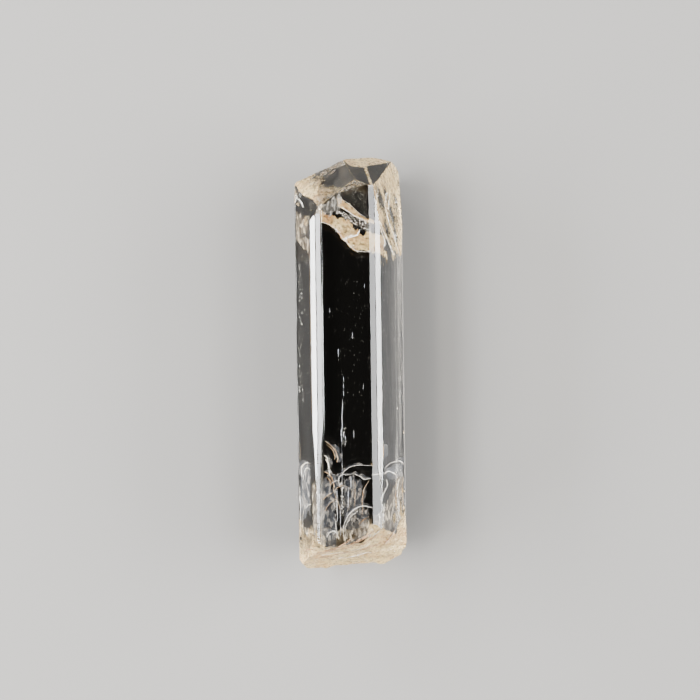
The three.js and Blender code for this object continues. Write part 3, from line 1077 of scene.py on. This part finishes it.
# The two long borders of each veil beside the fracture, and of each one under the left wall.
FRACTURE_HAZE = [
    ([(-1.75, 9.1, 0.12), (-1.3, 9.4, 0.12), (-0.7, 9.75, 0.12), (-0.4, 9.9, 0.1)],
     [(-1.65, 8.7, 0.2), (-1.2, 8.62, 0.2), (-0.8, 8.7, 0.25), (-0.4, 9.2, 0.3)]),
    ([(-1.5, 9.3, 0.3), (-1.0, 9.6, 0.3), (-0.5, 9.8, 0.3)],
     [(-1.5, 8.6, 0.4), (-1.0, 8.7, 0.4), (-0.5, 8.9, 0.4)]),
]
WALL_HAZE = [
    ([(-3.08, 8.9, 0.05), (-2.8, 8.7, 0.05), (-2.5, 8.4, 0.05), (-2.35, 8.2, 0.05)],
     [(-3.08, 7.4, 0.06), (-2.8, 7.3, 0.06), (-2.5, 7.5, 0.06), (-2.35, 7.7, 0.06)]),
    ([(-3.0, 7.3, 0.05), (-2.6, 7.5, 0.05), (-2.3, 7.3, 0.05)],
     [(-2.8, 6.9, 0.06), (-2.5, 6.6, 0.06), (-2.3, 6.2, 0.06)]),
]


def crescent(points, width, drop, depth, along=40, across=3):
    """A thin curved crack: widest in its middle, and going down as it goes aside."""
    path = smooth_path([(x, y, 0) for x, y in points], along)
    ahead = np.gradient(path, axis=0)
    aside = np.column_stack([-ahead[:, 1], ahead[:, 0], np.zeros(along)])
    aside /= np.linalg.norm(aside, axis=1, keepdims=True)
    share = np.linspace(0, 1, along)
    taper = np.sin(np.pi * np.clip(share, 0.02, 0.98)) ** 0.5
    wander = 0.75 + 0.45 * unevenness(path, 0.45) + 0.45 * unevenness(path, 0.17)
    spread = taper * np.clip(wander, 0.2, 2)
    jitter = 0.03 * unevenness(path, 0.5) + 0.012 * unevenness(path, 0.15)
    path[:, :2] += jitter[:, None] * aside[:, :2]
    rows = []
    for step in np.linspace(0, 1, across + 1):
        line = path + aside * (width * step * spread)[:, None]
        line[:, 2] = depth + drop * np.sin(step * np.pi / 2) * spread
        rows.append(line)
    grid = np.array(rows)
    return shell(under(grid.reshape(-1, 3)).reshape(grid.shape), SHEET_THICKNESS)


def glints(corners, count, size, depths, rng):
    """Small bright lopsided flakes, scattered over a slanting four-cornered patch."""
    parts = []
    for _ in range(count):
        u, v = rng.random(), rng.random()
        near = np.array(corners[0]) * (1 - u) + np.array(corners[1]) * u
        far = np.array(corners[3]) * (1 - u) + np.array(corners[2]) * u
        x, y = near * (1 - v) + far * v
        centre = under([(x, y, rng.uniform(*depths))])[0]
        reach = rng.uniform(*size)
        points = [centre + reach * np.array([rng.gauss(0, 1), rng.gauss(0, 1), rng.gauss(0, 0.5)])
                  * (1 if i else 0.2) for i in range(4)]
        parts.append((points, [(0, 2, 1), (0, 1, 3), (1, 2, 3), (2, 0, 3)]))
    return parts


def splinters(line, count, spread, size, rng):
    """Small bright flakes scattered close along a line of (x, y, depth) points."""
    path = smooth_path(line, 60)
    patches = []
    for _ in range(count):
        x, y, depth = path[rng.randrange(len(path))]
        x, y = x + rng.gauss(0, spread), y + rng.gauss(0, spread)
        corners = (x, y), (x + spread, y), (x + spread, y + spread), (x, y + spread)
        patches.append((corners, 1, size, (0.7 * depth, depth), rng))
    return [glints(*patch)[0] for patch in patches]


def seen_from_above(line):
    """A line of (x, y, depth) points without their depth."""
    return [point[:2] for point in line]


flakes = random.Random(5)
inner_piece("far_fracture", [
    sheet(LOWER_TREAD_RIM, LOWER_TREAD_FOOT, ragged=0.2, relief=0.05, along=110, across=22),
    sheet(UPPER_TREAD_RIM, UPPER_TREAD_FOOT, ragged=0.25, relief=0.04, along=90, across=10),
], fracture_cream)
inner_piece("far_haze", [
    sheet(*veil, ragged=0.3, relief=0.05, along=40, across=14) for veil in FRACTURE_HAZE
], veil_finish("fracture haze", 0.55, 0.14, (0.88, 0.84, 0.76, 1), (0.6, 0.57, 0.52, 1)))
inner_piece("wall_haze", [
    sheet(*veil, ragged=0.3, relief=0.05, along=40, across=14) for veil in WALL_HAZE
], veil_finish("wall haze", 0.7, 0.12, (0.88, 0.74, 0.54, 1), (0.6, 0.44, 0.28, 1)))
inner_piece("far_fracture_edges", [
    crescent(WHITE_LEDGE, 0.15, 0.1, 0.2),
    crescent(seen_from_above(LOWER_TREAD_FOOT[3:9]), 0.03, 0.15, 0.2),
    crescent(seen_from_above(LOWER_TREAD_FOOT[:4]), 0.03, 0.15, 0.2),
    crescent(seen_from_above(UPPER_TREAD_FOOT[:5]), -0.04, 0.12, 0.4),
    crescent(seen_from_above(UPPER_TREAD_RIM[:5]), 0.02, 0.12, 0.4),
], fracture_white)
RISER_BAND = [(-0.7, 8.9), (1.15, 8.25), (1.15, 7.55), (-0.1, 8.3)]
CLEAR_BEYOND = [(0.1, 10.3), (1.1, 9.9), (1.1, 8.5), (-0.5, 9.6)]
# Glowing flakes: painted glints on the risers, beyond the fracture and along its feet.
inner_piece("far_fracture_painted_flakes", [
    *glints(RISER_BAND, 320, (0.008, 0.035), (0.45, 1.0), flakes),
    *glints(CLEAR_BEYOND, 420, (0.006, 0.016), (0.2, 1.2), flakes),
    *splinters(LOWER_TREAD_FOOT[1:], 160, 0.05, (0.01, 0.03), flakes),
    *splinters(UPPER_TREAD_FOOT, 60, 0.04, (0.01, 0.03), flakes),
], fracture_white)

# ---- Cracks and veils at the near end ----
# The blow that broke the near end sent thin shell-shaped cracks into the crystal. Some are
# clean and white, and some have taken up iron and are orange. Haze hangs between them. Cracks
# and haze all glow a little with a painted light.
# Each crack: its points, its width across, how far it goes down and how deep its upper edge is.
WHITE_CRACKS = [
    ([(-0.62, -6.45), (-0.3, -6.15), (0.17, -5.98), (1.12, -5.95)], 0.04, 0.4, 0.2),
    ([(-1.2, -6.95), (-0.95, -6.82), (-0.72, -6.8)], 0.03, 0.2, 0.25),
    ([(-0.72, -7.2), (-0.78, -6.8), (-0.62, -6.5), (-0.36, -6.45)], 0.05, 0.3, 0.25),
    ([(-0.39, -6.5), (0.1, -6.45), (0.45, -6.58), (0.7, -6.75), (1.08, -6.69)], 0.09, 0.2, 0.3),
    ([(1.12, -6.5), (1.5, -6.5), (1.75, -6.45)], 0.07, 0.1, 0.06),
    ([(1.9, -6.19), (2.2, -5.93), (2.76, -5.85), (3.05, -6.03)], 0.04, 0.1, 0.05),
    ([(1.85, -6.5), (2.1, -6.38), (2.35, -6.5), (2.62, -6.68)], 0.08, 0.1, 0.06),
    ([(-1.03, -9.08), (-0.98, -9.6), (-0.85, -10.18)], 0.05, 0.2, 0.3),
    ([(-1.1, -8.95), (-1.0, -9.2), (-1.05, -9.7), (-1.1, -10.0)], 0.03, 0.2, 0.35),
    ([(-0.47, -10.3), (-0.53, -9.6), (-0.27, -8.85), (0.25, -8.43), (0.7, -8.33), (1.12, -8.4)],
     0.035, 0.5, 0.2),
    ([(-0.38, -10.2), (-0.42, -9.6), (-0.15, -8.95), (0.3, -8.6)], 0.02, 0.4, 0.3),
    ([(-2.98, -6.7), (-2.95, -6.2), (-2.7, -5.85), (-2.4, -5.8)], 0.06, 0.1, 0.05),
    ([(-2.9, -6.9), (-2.8, -6.35), (-2.6, -6.1), (-2.42, -6.2)], 0.04, 0.1, 0.05),
    ([(-1.5, -5.55), (-1.38, -5.9), (-1.35, -6.5)], 0.05, 0.2, 0.3),
    ([(-1.62, -5.3), (-1.45, -5.45), (-1.38, -5.7)], 0.03, 0.2, 0.3),
    ([(2.75, -6.9), (2.62, -7.5), (2.68, -8.6), (2.78, -9.6)], 0.04, 0.1, 0.05),
    ([(2.1, -9.9), (2.2, -9.2), (2.35, -8.6), (2.62, -8.2)], 0.035, 0.1, 0.05),
    ([(-2.9, -7.5), (-2.86, -8.3), (-2.92, -9.2), (-2.85, -10.0)], 0.04, 0.1, 0.05),
    ([(-3.08, -7.2), (-3.1, -8.1), (-3.09, -9.2), (-3.06, -10.2)], 0.07, 0.08, 0.03),
    ([(-2.7, -8.5), (-2.55, -8.3), (-2.4, -8.25)], 0.03, 0.1, 0.05),
    ([(-1.5, -10.1), (-1.35, -9.85), (-1.1, -9.75), (-0.95, -9.85)], 0.03, 0.2, 0.3),
    ([(-2.75, -10.0), (-2.4, -9.85), (-2.2, -9.95)], 0.04, 0.1, 0.05),
]
STAINED_CRACKS = [
    ([(-1.58, -4.52), (-1.23, -4.78), (-0.97, -5.13), (-0.86, -5.5), (-0.9, -5.75)], 0.08, 0.3, 0.3),
    ([(-1.45, -4.72), (-1.17, -5.0), (-1.02, -5.35), (-1.04, -5.6)], 0.04, 0.2, 0.45),
    ([(1.47, -4.53), (1.67, -4.79), (1.78, -5.05), (1.74, -5.63)], 0.05, 0.1, 0.05),
    ([(-3.1, -4.6), (-3.06, -5.1), (-3.07, -5.71)], 0.04, 0.1, 0.04),
    ([(-1.65, -6.3), (-1.4, -6.45), (-1.16, -6.8), (-1.05, -7.2)], 0.1, 0.2, 0.3),
    ([(-1.5, -6.6), (-1.3, -6.85), (-1.25, -7.1)], 0.07, 0.2, 0.4),
    ([(-1.1, -7.2), (-1.0, -7.7), (-0.85, -8.1), (-0.72, -8.5)], 0.03, 0.3, 0.3),
    ([(0.97, -6.84), (0.68, -7.3), (0.57, -7.8), (0.53, -8.78)], 0.045, 0.3, 0.35),
    ([(2.69, -6.65), (2.53, -7.4), (2.5, -8.0), (2.52, -8.6)], 0.05, 0.1, 0.06),
    ([(2.98, -6.8), (2.9, -7.6), (2.95, -8.5)], 0.04, 0.1, 0.06),
    ([(-1.1, -7.4), (-0.8, -7.2), (-0.5, -7.1)], 0.04, 0.2, 0.5),
    ([(0.35, -9.4), (0.6, -9.15), (0.95, -8.95)], 0.03, 0.2, 0.5),
    ([(-0.45, -10.65), (0.1, -10.4), (0.6, -10.15), (1.1, -9.75)], 0.07, 0.3, 0.1),
    ([(-2.4, -11.0), (-1.6, -10.95), (-0.9, -10.9), (-0.45, -10.7)], 0.05, 0.1, 0.03),
    ([(-1.8, -8.0), (-1.5, -7.75), (-1.15, -7.5)], 0.03, 0.3, 0.6),
    ([(-1.6, -8.6), (-1.35, -8.2), (-1.0, -7.9)], 0.02, 0.3, 0.6),
    ([(0.18, -6.9), (0.15, -7.5), (0.12, -8.3)], 0.02, 0.1, 0.4),
]
# The two long borders of each veil, and of each patch of haze close under the surface.
VEILS = [
    ([(-1.6, -6.6, 0.4), (-1.15, -7.3, 0.5), (-1.0, -8.2, 0.6), (-0.95, -9.6, 0.8)],
     [(-1.9, -7.3, 0.6), (-1.95, -8.2, 0.7), (-1.95, -9.0, 0.8), (-1.9, -9.8, 0.9)]),
    ([(-0.5, -6.9, 0.6), (0.1, -6.7, 0.6), (0.6, -7.0, 0.7)],
     [(-0.5, -9.0, 1.0), (0.0, -8.6, 1.1), (0.5, -8.7, 1.2)]),
    ([(-0.45, -8.9, 0.7), (0.2, -8.5, 0.6), (0.9, -8.45, 0.7)],
     [(-0.4, -10.2, 1.0), (0.3, -10.1, 1.1), (1.0, -9.8, 1.1)]),
    ([(-1.85, -9.7, 0.25), (-1.4, -9.6, 0.25), (-0.95, -9.7, 0.25)],
     [(-1.85, -10.6, 0.35), (-1.4, -10.7, 0.35), (-0.95, -10.6, 0.35)]),
    ([(-2.95, -6.2, 0.1), (-2.7, -5.9, 0.1), (-2.4, -6.1, 0.1)],
     [(-3.0, -8.5, 0.2), (-2.8, -8.8, 0.2), (-2.4, -8.6, 0.2)]),
    ([(1.9, -6.3, 0.12), (2.4, -6.0, 0.12), (2.95, -6.1, 0.12)],
     [(1.95, -6.75, 0.2), (2.4, -6.9, 0.2), (2.9, -6.9, 0.2)]),
]
NEAR_HAZE = [
    ([(-1.0, -9.7, 0.1), (-0.6, -9.6, 0.1), (-0.3, -9.7, 0.1), (0.4, -9.5, 0.1), (1.1, -9.0, 0.1)],
     [(-1.0, -10.6, 0.05), (-0.6, -10.5, 0.05), (-0.3, -10.4, 0.05), (0.4, -10.1, 0.05),
      (1.1, -9.8, 0.05)]),
    ([(1.2, -8.8, 0.05), (1.8, -8.4, 0.05), (2.4, -7.4, 0.05), (3.0, -6.7, 0.05)],
     [(1.2, -9.9, 0.04), (1.8, -9.9, 0.04), (2.4, -9.8, 0.04), (2.9, -9.6, 0.04)]),
    ([(-3.0, -9.4, 0.05), (-2.5, -9.7, 0.05), (-2.0, -9.8, 0.05), (-1.6, -10.1, 0.05)],
     [(-3.0, -10.6, 0.04), (-2.5, -10.6, 0.04), (-2.0, -10.5, 0.04), (-1.6, -10.7, 0.04)]),
    ([(-2.35, -7.2, 0.03), (-2.2, -7.0, 0.03), (-2.02, -7.4, 0.03)],
     [(-2.3, -10.1, 0.03), (-2.2, -10.2, 0.03), (-2.05, -10.2, 0.03)]),
    ([(2.55, -6.8, 0.04), (2.8, -6.6, 0.04), (3.03, -6.9, 0.04)],
     [(2.5, -9.7, 0.04), (2.8, -9.9, 0.04), (3.03, -9.7, 0.04)]),
]
SIDE_REACH = 1.45
FILM_WIDTH = 5


def beside(crack):
    """Whether a crack lies under a side wall or a bevel, where its stronger painted glow has to
    outshine the wall.
    """
    return abs(crack[0][0][0]) > SIDE_REACH


def film(points, width, drop, depth):
    """The faint film of a crack beyond its bright rim: much wider and a little deeper."""
    return crescent(points, FILM_WIDTH * width, 0.5 + drop, depth + 0.03, across=8)


crack_white = crack_finish("crack white", (0.97, 0.95, 0.9, 1), (0.72, 0.68, 0.6, 1), 0.4)
crack_painted_bright = crack_finish("crack bright", (1, 0.98, 0.93, 1), (0.85, 0.78, 0.66, 1), 1.1)
crack_stained = crack_finish("crack stained", (0.86, 0.68, 0.46, 1), (0.5, 0.28, 0.12, 1), 0.16)
inner_piece("near_cracks", [crescent(*c) for c in WHITE_CRACKS if not beside(c)], crack_white)
inner_piece("side_cracks", [crescent(*c) for c in WHITE_CRACKS if beside(c)], crack_painted_bright)
inner_piece("stained_cracks", [crescent(*c) for c in STAINED_CRACKS], crack_stained)
inner_piece("crack_films", [film(*c) for c in WHITE_CRACKS + STAINED_CRACKS],
            veil_finish("crack film", 0.28, 0.1))
inner_piece("near_veils", [
    sheet(*veil, ragged=0.2, relief=0.08, along=50, across=20) for veil in VEILS
], veil_finish("veil", 0.4, 0.1))
inner_piece("near_haze", [
    sheet(*veil, ragged=0.15, relief=0.03, along=60, across=14) for veil in NEAR_HAZE
], veil_finish("near haze", 0.6, 0.12, (0.9, 0.78, 0.58, 1), (0.6, 0.44, 0.26, 1)))

# ---- Ledges and sparkle on the frosted faces ----
# The break is stepped: rust has gathered along some ledges and others have sharp bright edges,
# bright by a painted glow. Tiny flakes all over the frosted faces stand for flat cleavages that
# catch the light; their sparkle is a painted glow.
RUSTED_LEDGES = [
    [(-2.6, -11.2), (-1.9, -11.12), (-1.2, -11.0), (-0.5, -10.85), (0.1, -10.6)],
    [(-0.6, -10.75), (0.0, -10.5), (0.6, -10.25), (1.1, -9.85), (1.45, -9.6)],
    [(-2.2, -11.45), (-1.4, -11.4), (-0.7, -11.2), (0.2, -11.05)],
    [(0.3, -11.1), (0.9, -10.85), (1.5, -10.7)],
    [(-1.7, -11.0), (-1.1, -10.85), (-0.6, -10.65)],
    [(1.6, -10.9), (2.1, -10.4), (2.5, -9.8)],
    [(-2.9, -11.0), (-2.5, -10.9), (-2.1, -10.95)],
    [(-1.2, -10.75), (-0.7, -10.6), (-0.3, -10.35), (0.0, -10.1)],
    [(0.2, -10.65), (0.7, -10.5), (1.2, -10.2), (1.5, -10.0)],
]
BRIGHT_LEDGES = [
    [(0.0, -10.95), (0.5, -10.85), (1.0, -10.55)],
    [(-0.9, -11.55), (-0.2, -11.5), (0.5, -11.3), (1.1, -11.15)],
    [(1.1, -10.1), (1.5, -9.8), (1.7, -9.5)],
    [(-1.9, -11.25), (-1.3, -11.2), (-0.8, -11.1)],
    [(1.9, -10.7), (2.4, -10.0), (2.7, -9.3)],
]
# Bright lines down the shoulder, then one on the left facet and cracks in the right bevel, all
# bright by a strong painted glow.
BRIGHT_STREAKS = [
    [(2.43, 9.86), (2.37, 9.4), (2.34, 8.95)],
    [(2.07, 9.45), (2.31, 8.45), (2.64, 7.46), (2.93, 6.46)],
    [(1.57, 8.62), (1.98, 7.79), (2.39, 6.8), (2.6, 6.22)],
    [(1.7, 8.12), (1.9, 7.62), (2.07, 7.04), (2.02, 6.7)],
    [(1.66, 9.8), (1.6, 9.2), (1.56, 8.6)],
    [(2.25, 9.95), (2.2, 9.7), (2.19, 9.4)],
    [(-3.06, 9.78), (-2.9, 9.62), (-2.75, 9.4), (-2.66, 9.12)],
    [(1.95, -6.8), (2.02, -7.2), (1.8, -7.6), (1.66, -7.9), (1.7, -8.4), (1.58, -8.85)],
    [(1.62, -5.4), (1.68, -6.1), (1.6, -6.8), (1.72, -7.3)],
    [(1.5, -8.7), (1.56, -9.2), (1.5, -9.6)],
    [(1.84, -8.2), (1.76, -8.8), (1.82, -9.3)],
]
LEDGE_RISE = -0.02
ON_FACE = (-0.012, -0.004)
# Where the faces get painted sparkle: the patch's four corners, how many glowing glints and their
# sizes.
SPARKLE = [
    ([(-2.9, -10.9), (1.2, -10.3), (1.2, -11.5), (-2.8, -11.6)], 260, (0.006, 0.018)),
    ([(1.2, -9.8), (2.9, -9.0), (2.9, -10.2), (1.2, -11.4)], 130, (0.006, 0.018)),
    ([(1.5, 10.4), (2.6, 11.0), (3.0, 7.0), (2.2, 6.4)], 260, (0.006, 0.02)),
    ([(-2.8, 9.9), (-1.4, 10.7), (-0.5, 10.0), (-1.7, 9.0)], 130, (0.005, 0.014)),
    ([(-0.3, 11.7), (2.2, 11.9), (1.8, 11.5), (0.2, 11.3)], 60, (0.005, 0.014)),
]
sparks = random.Random(17)


def ledge(points, width):
    """A thin line that stands just proud of the face it runs over."""
    return crescent(points, width, 0.0, LEDGE_RISE, across=2)


def line_sparks(line):
    """Tiny splinters on the face, all along a bright line."""
    return splinters([(x, y, ON_FACE[0]) for x, y in line], 40, 0.035, (0.008, 0.03), sparks)


inner_piece("rusted_ledges", [ledge(line, 0.08) for line in RUSTED_LEDGES],
            crack_finish("rusted ledge", (0.56, 0.4, 0.26, 1), (0.36, 0.21, 0.12, 1), 0.02))
inner_piece("bright_ledges", [ledge(line, 0.03) for line in BRIGHT_LEDGES], crack_white)
inner_piece("bright_streaks", [
    *(ledge(line, 0.028) for line in BRIGHT_STREAKS),
    *(flake for line in BRIGHT_STREAKS for flake in line_sparks(line)),
], crack_painted_bright)
inner_piece("frost_painted_sparkle", [
    painted_glint for patch in SPARKLE for painted_glint in glints(*patch, ON_FACE, sparks)
], crack_white)

# ---- Growth tubes, bubbles and specks ----
# Fine hollow tubes run up the middle of the crystal, where it grew round something, with strings
# of fluid bubbles beside the cracks. A few specks lie in its walls, and a hair of dust clings on.
# The tubes, bubbles and specks glow a little with a painted light.
# Each growth tube: its x, its far and near ends along Y, its depth and its radius.
TUBES = [
    (-0.7, 0.84, 0.35, 0.5, 0.02),
    (-0.42, -0.8, -1.1, 0.6, 0.014),
    (-0.45, -1.2, -1.5, 0.6, 0.016),
    (-0.44, -1.6, -1.95, 0.6, 0.014),
    (-0.52, -2.1, -3.0, 0.7, 0.018),
    (-0.54, -2.9, -3.9, 0.7, 0.022),
    (-0.58, -3.8, -4.6, 0.7, 0.03),
    (-0.46, -4.0, -4.35, 0.6, 0.016),
    (-0.36, -4.2, -4.5, 0.65, 0.02),
    (-0.4, -4.6, -4.8, 0.65, 0.014),
    (-0.6, -4.7, -8.7, 0.6, 0.011),
    (0.12, -3.9, -4.4, 0.9, 0.012),
    (-0.9, -7.3, -9.2, 0.5, 0.024),
    (-0.25, -7.2, -8.4, 0.5, 0.02),
    (-0.1, -6.6, -7.3, 0.6, 0.024),
    (-0.72, -8.0, -10.1, 0.45, 0.016),
    (0.12, 1.8, 1.4, 0.8, 0.012),
    (-1.2, 3.2, 2.9, 0.5, 0.009),
    (0.7, -1.2, -1.6, 0.6, 0.009),
    (0.85, 4.6, 4.3, 0.5, 0.01),
]
# Each string of bubbles: its x, its far and near ends, how many, how widely they stray, and sizes.
BUBBLES = [
    (-0.6, -6.9, -9.0, 60, 0.05, (0.012, 0.035)),
    (-0.95, -7.3, -8.6, 40, 0.06, (0.01, 0.03)),
    (-1.35, -5.5, -6.6, 30, 0.06, (0.01, 0.025)),
    (-0.45, -3.7, -4.9, 30, 0.08, (0.008, 0.02)),
    (0.3, -8.7, -9.9, 36, 0.3, (0.006, 0.014)),
    (0.0, 6.4, -5.5, 120, 0.7, (0.006, 0.013)),
]
# Each band of specks: how many, where across and along the crystal, their lengths and radii.
SPECKS = [
    (80, (-3.05, -2.75), (-2.6, 6.4), (0.03, 0.2), (0.01, 0.022)),
    (24, (-2.75, -2.4), (-5.0, 6.8), (0.02, 0.08), (0.01, 0.02)),
    (34, (2.85, 3.05), (-2.5, 5.5), (0.03, 0.2), (0.01, 0.022)),
    (26, (1.9, 2.8), (-5.5, 5.5), (0.02, 0.1), (0.01, 0.018)),
    (30, (1.5, 1.78), (-8.5, 5.8), (0.1, 0.5), (0.012, 0.02)),
]
HAIR = [(-3.08, -7.95, 2.75), (-3.17, -7.85, 2.8), (-3.23, -7.7, 2.9), (-3.25, -7.5, 3.05)]


def thread(points, radius, sides=6):
    """A closed thread along a line of points, fine at both ends."""
    path = np.asarray(points, float)
    count = len(path)
    ahead = np.gradient(path, axis=0)
    ahead /= np.linalg.norm(ahead, axis=1, keepdims=True)
    aside = np.cross(ahead, np.array([0.1, 0.05, 1.0]))
    aside /= np.linalg.norm(aside, axis=1, keepdims=True)
    over = np.cross(ahead, aside)
    share = np.linspace(0, 1, count)
    swell = radius * (0.25 + 0.75 * np.sin(np.pi * share) ** 0.5)
    swell = swell * (1 + 0.4 * unevenness(path, 0.12))
    vertices = []
    for i in range(count):
        for k in range(sides):
            a = 2 * np.pi * k / sides
            vertices.append(path[i] + swell[i] * (math.cos(a) * aside[i] + math.sin(a) * over[i]))
    faces = [tuple(range(sides - 1, -1, -1)), tuple((count - 1) * sides + k for k in range(sides))]
    for i in range(count - 1):
        for k in range(sides):
            a, b = i * sides + k, i * sides + (k + 1) % sides
            faces.append((a, b, b + sides, a + sides))
    return vertices, faces


def tube(x, top, bottom, depth, radius):
    """A growth tube: a thread along Y that wanders a little."""
    count = max(6, round((top - bottom) / 0.06))
    line = np.column_stack([np.full(count, x), np.linspace(top, bottom, count), np.full(count, depth)])
    line[:, 0] += 0.02 * unevenness(line, 0.6)
    line[:, 2] += 0.1 * unevenness(line, 1.4)
    return thread(under(line), radius)


def bubble_string(x, top, bottom, count, spread, size, rng):
    """Bubbles crowded along a line."""
    parts = []
    for _ in range(count):
        place = under([(rng.gauss(x, spread), rng.uniform(bottom, top), rng.uniform(0.3, 0.9))])[0]
        parts.append(ball(place, rng.uniform(*size), 0.25, rng))
    return parts


def specks(count, across, along, reach, radius, rng):
    """Short scratches and specks just under a wall, each a tiny thread along the prism."""
    parts = []
    for _ in range(count):
        x, y = rng.uniform(*across), rng.uniform(*along)
        length = rng.uniform(*reach)
        lean = rng.uniform(-0.3, 0.3) * length
        line = [(x + lean * t, y + length * t, 0.03) for t in np.linspace(0, 1, 5)]
        parts.append(thread(under(line), rng.uniform(*radius)))
    return parts


def wall_line_thread(x, top, bottom, count, radius):
    """A fine straight line close under a wall, along the prism."""
    return thread(under([(x, y, 0.02) for y in np.linspace(top, bottom, count)]), radius)


fizz = random.Random(23)
tube_finish = crack_finish("growth tube", (0.95, 0.94, 0.92, 1), (0.72, 0.76, 0.86, 1), 0.18)
inner_piece("growth_tubes", [tube(*values) for values in TUBES], tube_finish)
inner_piece("bubbles", [
    bubble for string in BUBBLES for bubble in bubble_string(*string, fizz)
], crack_white)
scratches = random.Random(31)
inner_piece("wall_specks", [
    *(speck for band in SPECKS for speck in specks(*band, scratches)),
    wall_line_thread(2.66, 5.6, -5.5, 80, 0.009),
], crack_white)
# A painted reflection: a thin reddish-brown glowing thread near the left bevel, standing in for the
# brown light that total reflection carries along the crystal from its frosted ends.
inner_piece("red_reflection_line", [wall_line_thread(-2.3, 7.0, -3.0, 60, 0.012)], crack_stained)
dust = crack_finish("dust", (0.7, 0.68, 0.64, 1), (0.5, 0.48, 0.45, 1), 0.0)
inner_piece("dust_hair", [thread(smooth_path(HAIR, 24), 0.012)], dust)

# ---- The ground, the lamps and the camera ----
# A pale sheet under the crystal, soft panels to its left and right whose light the long bevels
# mirror, and a camera that looks straight down.
FLOOR_PALE = (0.36, 0.352, 0.34, 1)
FLOOR_GAP = 0.04
LAMP_DISTANCE = 0.25
CRYSTAL_MIDDLE = Vector((0, 0, 0.0025))
VIEW_WIDTH = 0.0406
LENS = 85
SENSOR = 36
CAMERA_OFFSET = (-0.00003, 0.00075)
CAMERA_ROLL = -0.8
# Each lamp: its name, azimuth and elevation, width and height in metres, and power.
PANELS = [
    ("left low panel", -90, 19, 0.24, 0.045, 1.3),
    ("left middle panel", -90, 43, 0.24, 0.04, 0.6),
    ("left high panel", -90, 60, 0.24, 0.06, 0.06),
    ("right low panel", 90, 20, 0.24, 0.06, 1.0),
    ("right middle panel", 90, 43, 0.24, 0.05, 0.34),
    ("far panel", -35, 26, 0.12, 0.06, 0.28),
    ("near panel", -145, 26, 0.12, 0.06, 0.24),
    ("right near panel", 128, 28, 0.1, 0.05, 0.1),
]


def make_floor():
    """The plain pale floor, a hair below the crystal."""
    shape = bmesh.new()
    bmesh.ops.create_grid(shape, x_segments=1, y_segments=1, size=1)
    mesh = bpy.data.meshes.new("floor")
    shape.to_mesh(mesh)
    shape.free()
    floor = bpy.data.objects.new("floor", mesh)
    floor.location.z = -FLOOR_GAP * MM
    bpy.context.scene.collection.objects.link(floor)
    material = bpy.data.materials.new("floor")
    material.use_nodes = True
    surface = material.node_tree.nodes["Principled BSDF"]
    surface.inputs["Base Color"].default_value = FLOOR_PALE
    surface.inputs["Roughness"].default_value = 1
    surface.inputs["Specular IOR Level"].default_value = 0
    mesh.materials.append(material)


def make_panel(name, azimuth, elevation, width, height, power):
    """A soft lamp on a sphere round the crystal, turned towards it."""
    a, e = math.radians(azimuth), math.radians(elevation)
    place = Vector((math.cos(e) * math.sin(a), math.cos(e) * math.cos(a), math.sin(e)))
    light = bpy.data.lights.new(name, "AREA")
    light.shape = "RECTANGLE"
    light.size = width
    light.size_y = height
    light.energy = power
    lamp = bpy.data.objects.new(name, light)
    lamp.location = place * LAMP_DISTANCE
    lamp.rotation_euler = (CRYSTAL_MIDDLE - lamp.location).to_track_quat("-Z", "Y").to_euler()
    lamp.visible_camera = False
    bpy.context.scene.collection.objects.link(lamp)


make_floor()
for panel in PANELS:
    make_panel(*panel)

bpy.context.scene.cycles.caustics_refractive = False
bpy.context.scene.cycles.caustics_reflective = False
world = bpy.data.worlds.new("studio")
world.use_nodes = True
world.node_tree.nodes["Background"].inputs["Color"].default_value = (1, 1, 1, 1)
world.node_tree.nodes["Background"].inputs["Strength"].default_value = 0.06
bpy.context.scene.world = world
bpy.context.scene.view_settings.look = "AgX - Medium High Contrast"

lens = bpy.data.cameras.new("camera")
lens.lens = LENS
lens.sensor_width = SENSOR
lens.clip_start = 0.001
camera = bpy.data.objects.new("camera", lens)
camera.location = (*CAMERA_OFFSET, VIEW_WIDTH * LENS / SENSOR + CRYSTAL_MIDDLE.z)
camera.rotation_euler = (0, 0, math.radians(CAMERA_ROLL))
bpy.context.scene.collection.objects.link(camera)
bpy.context.scene.camera = camera
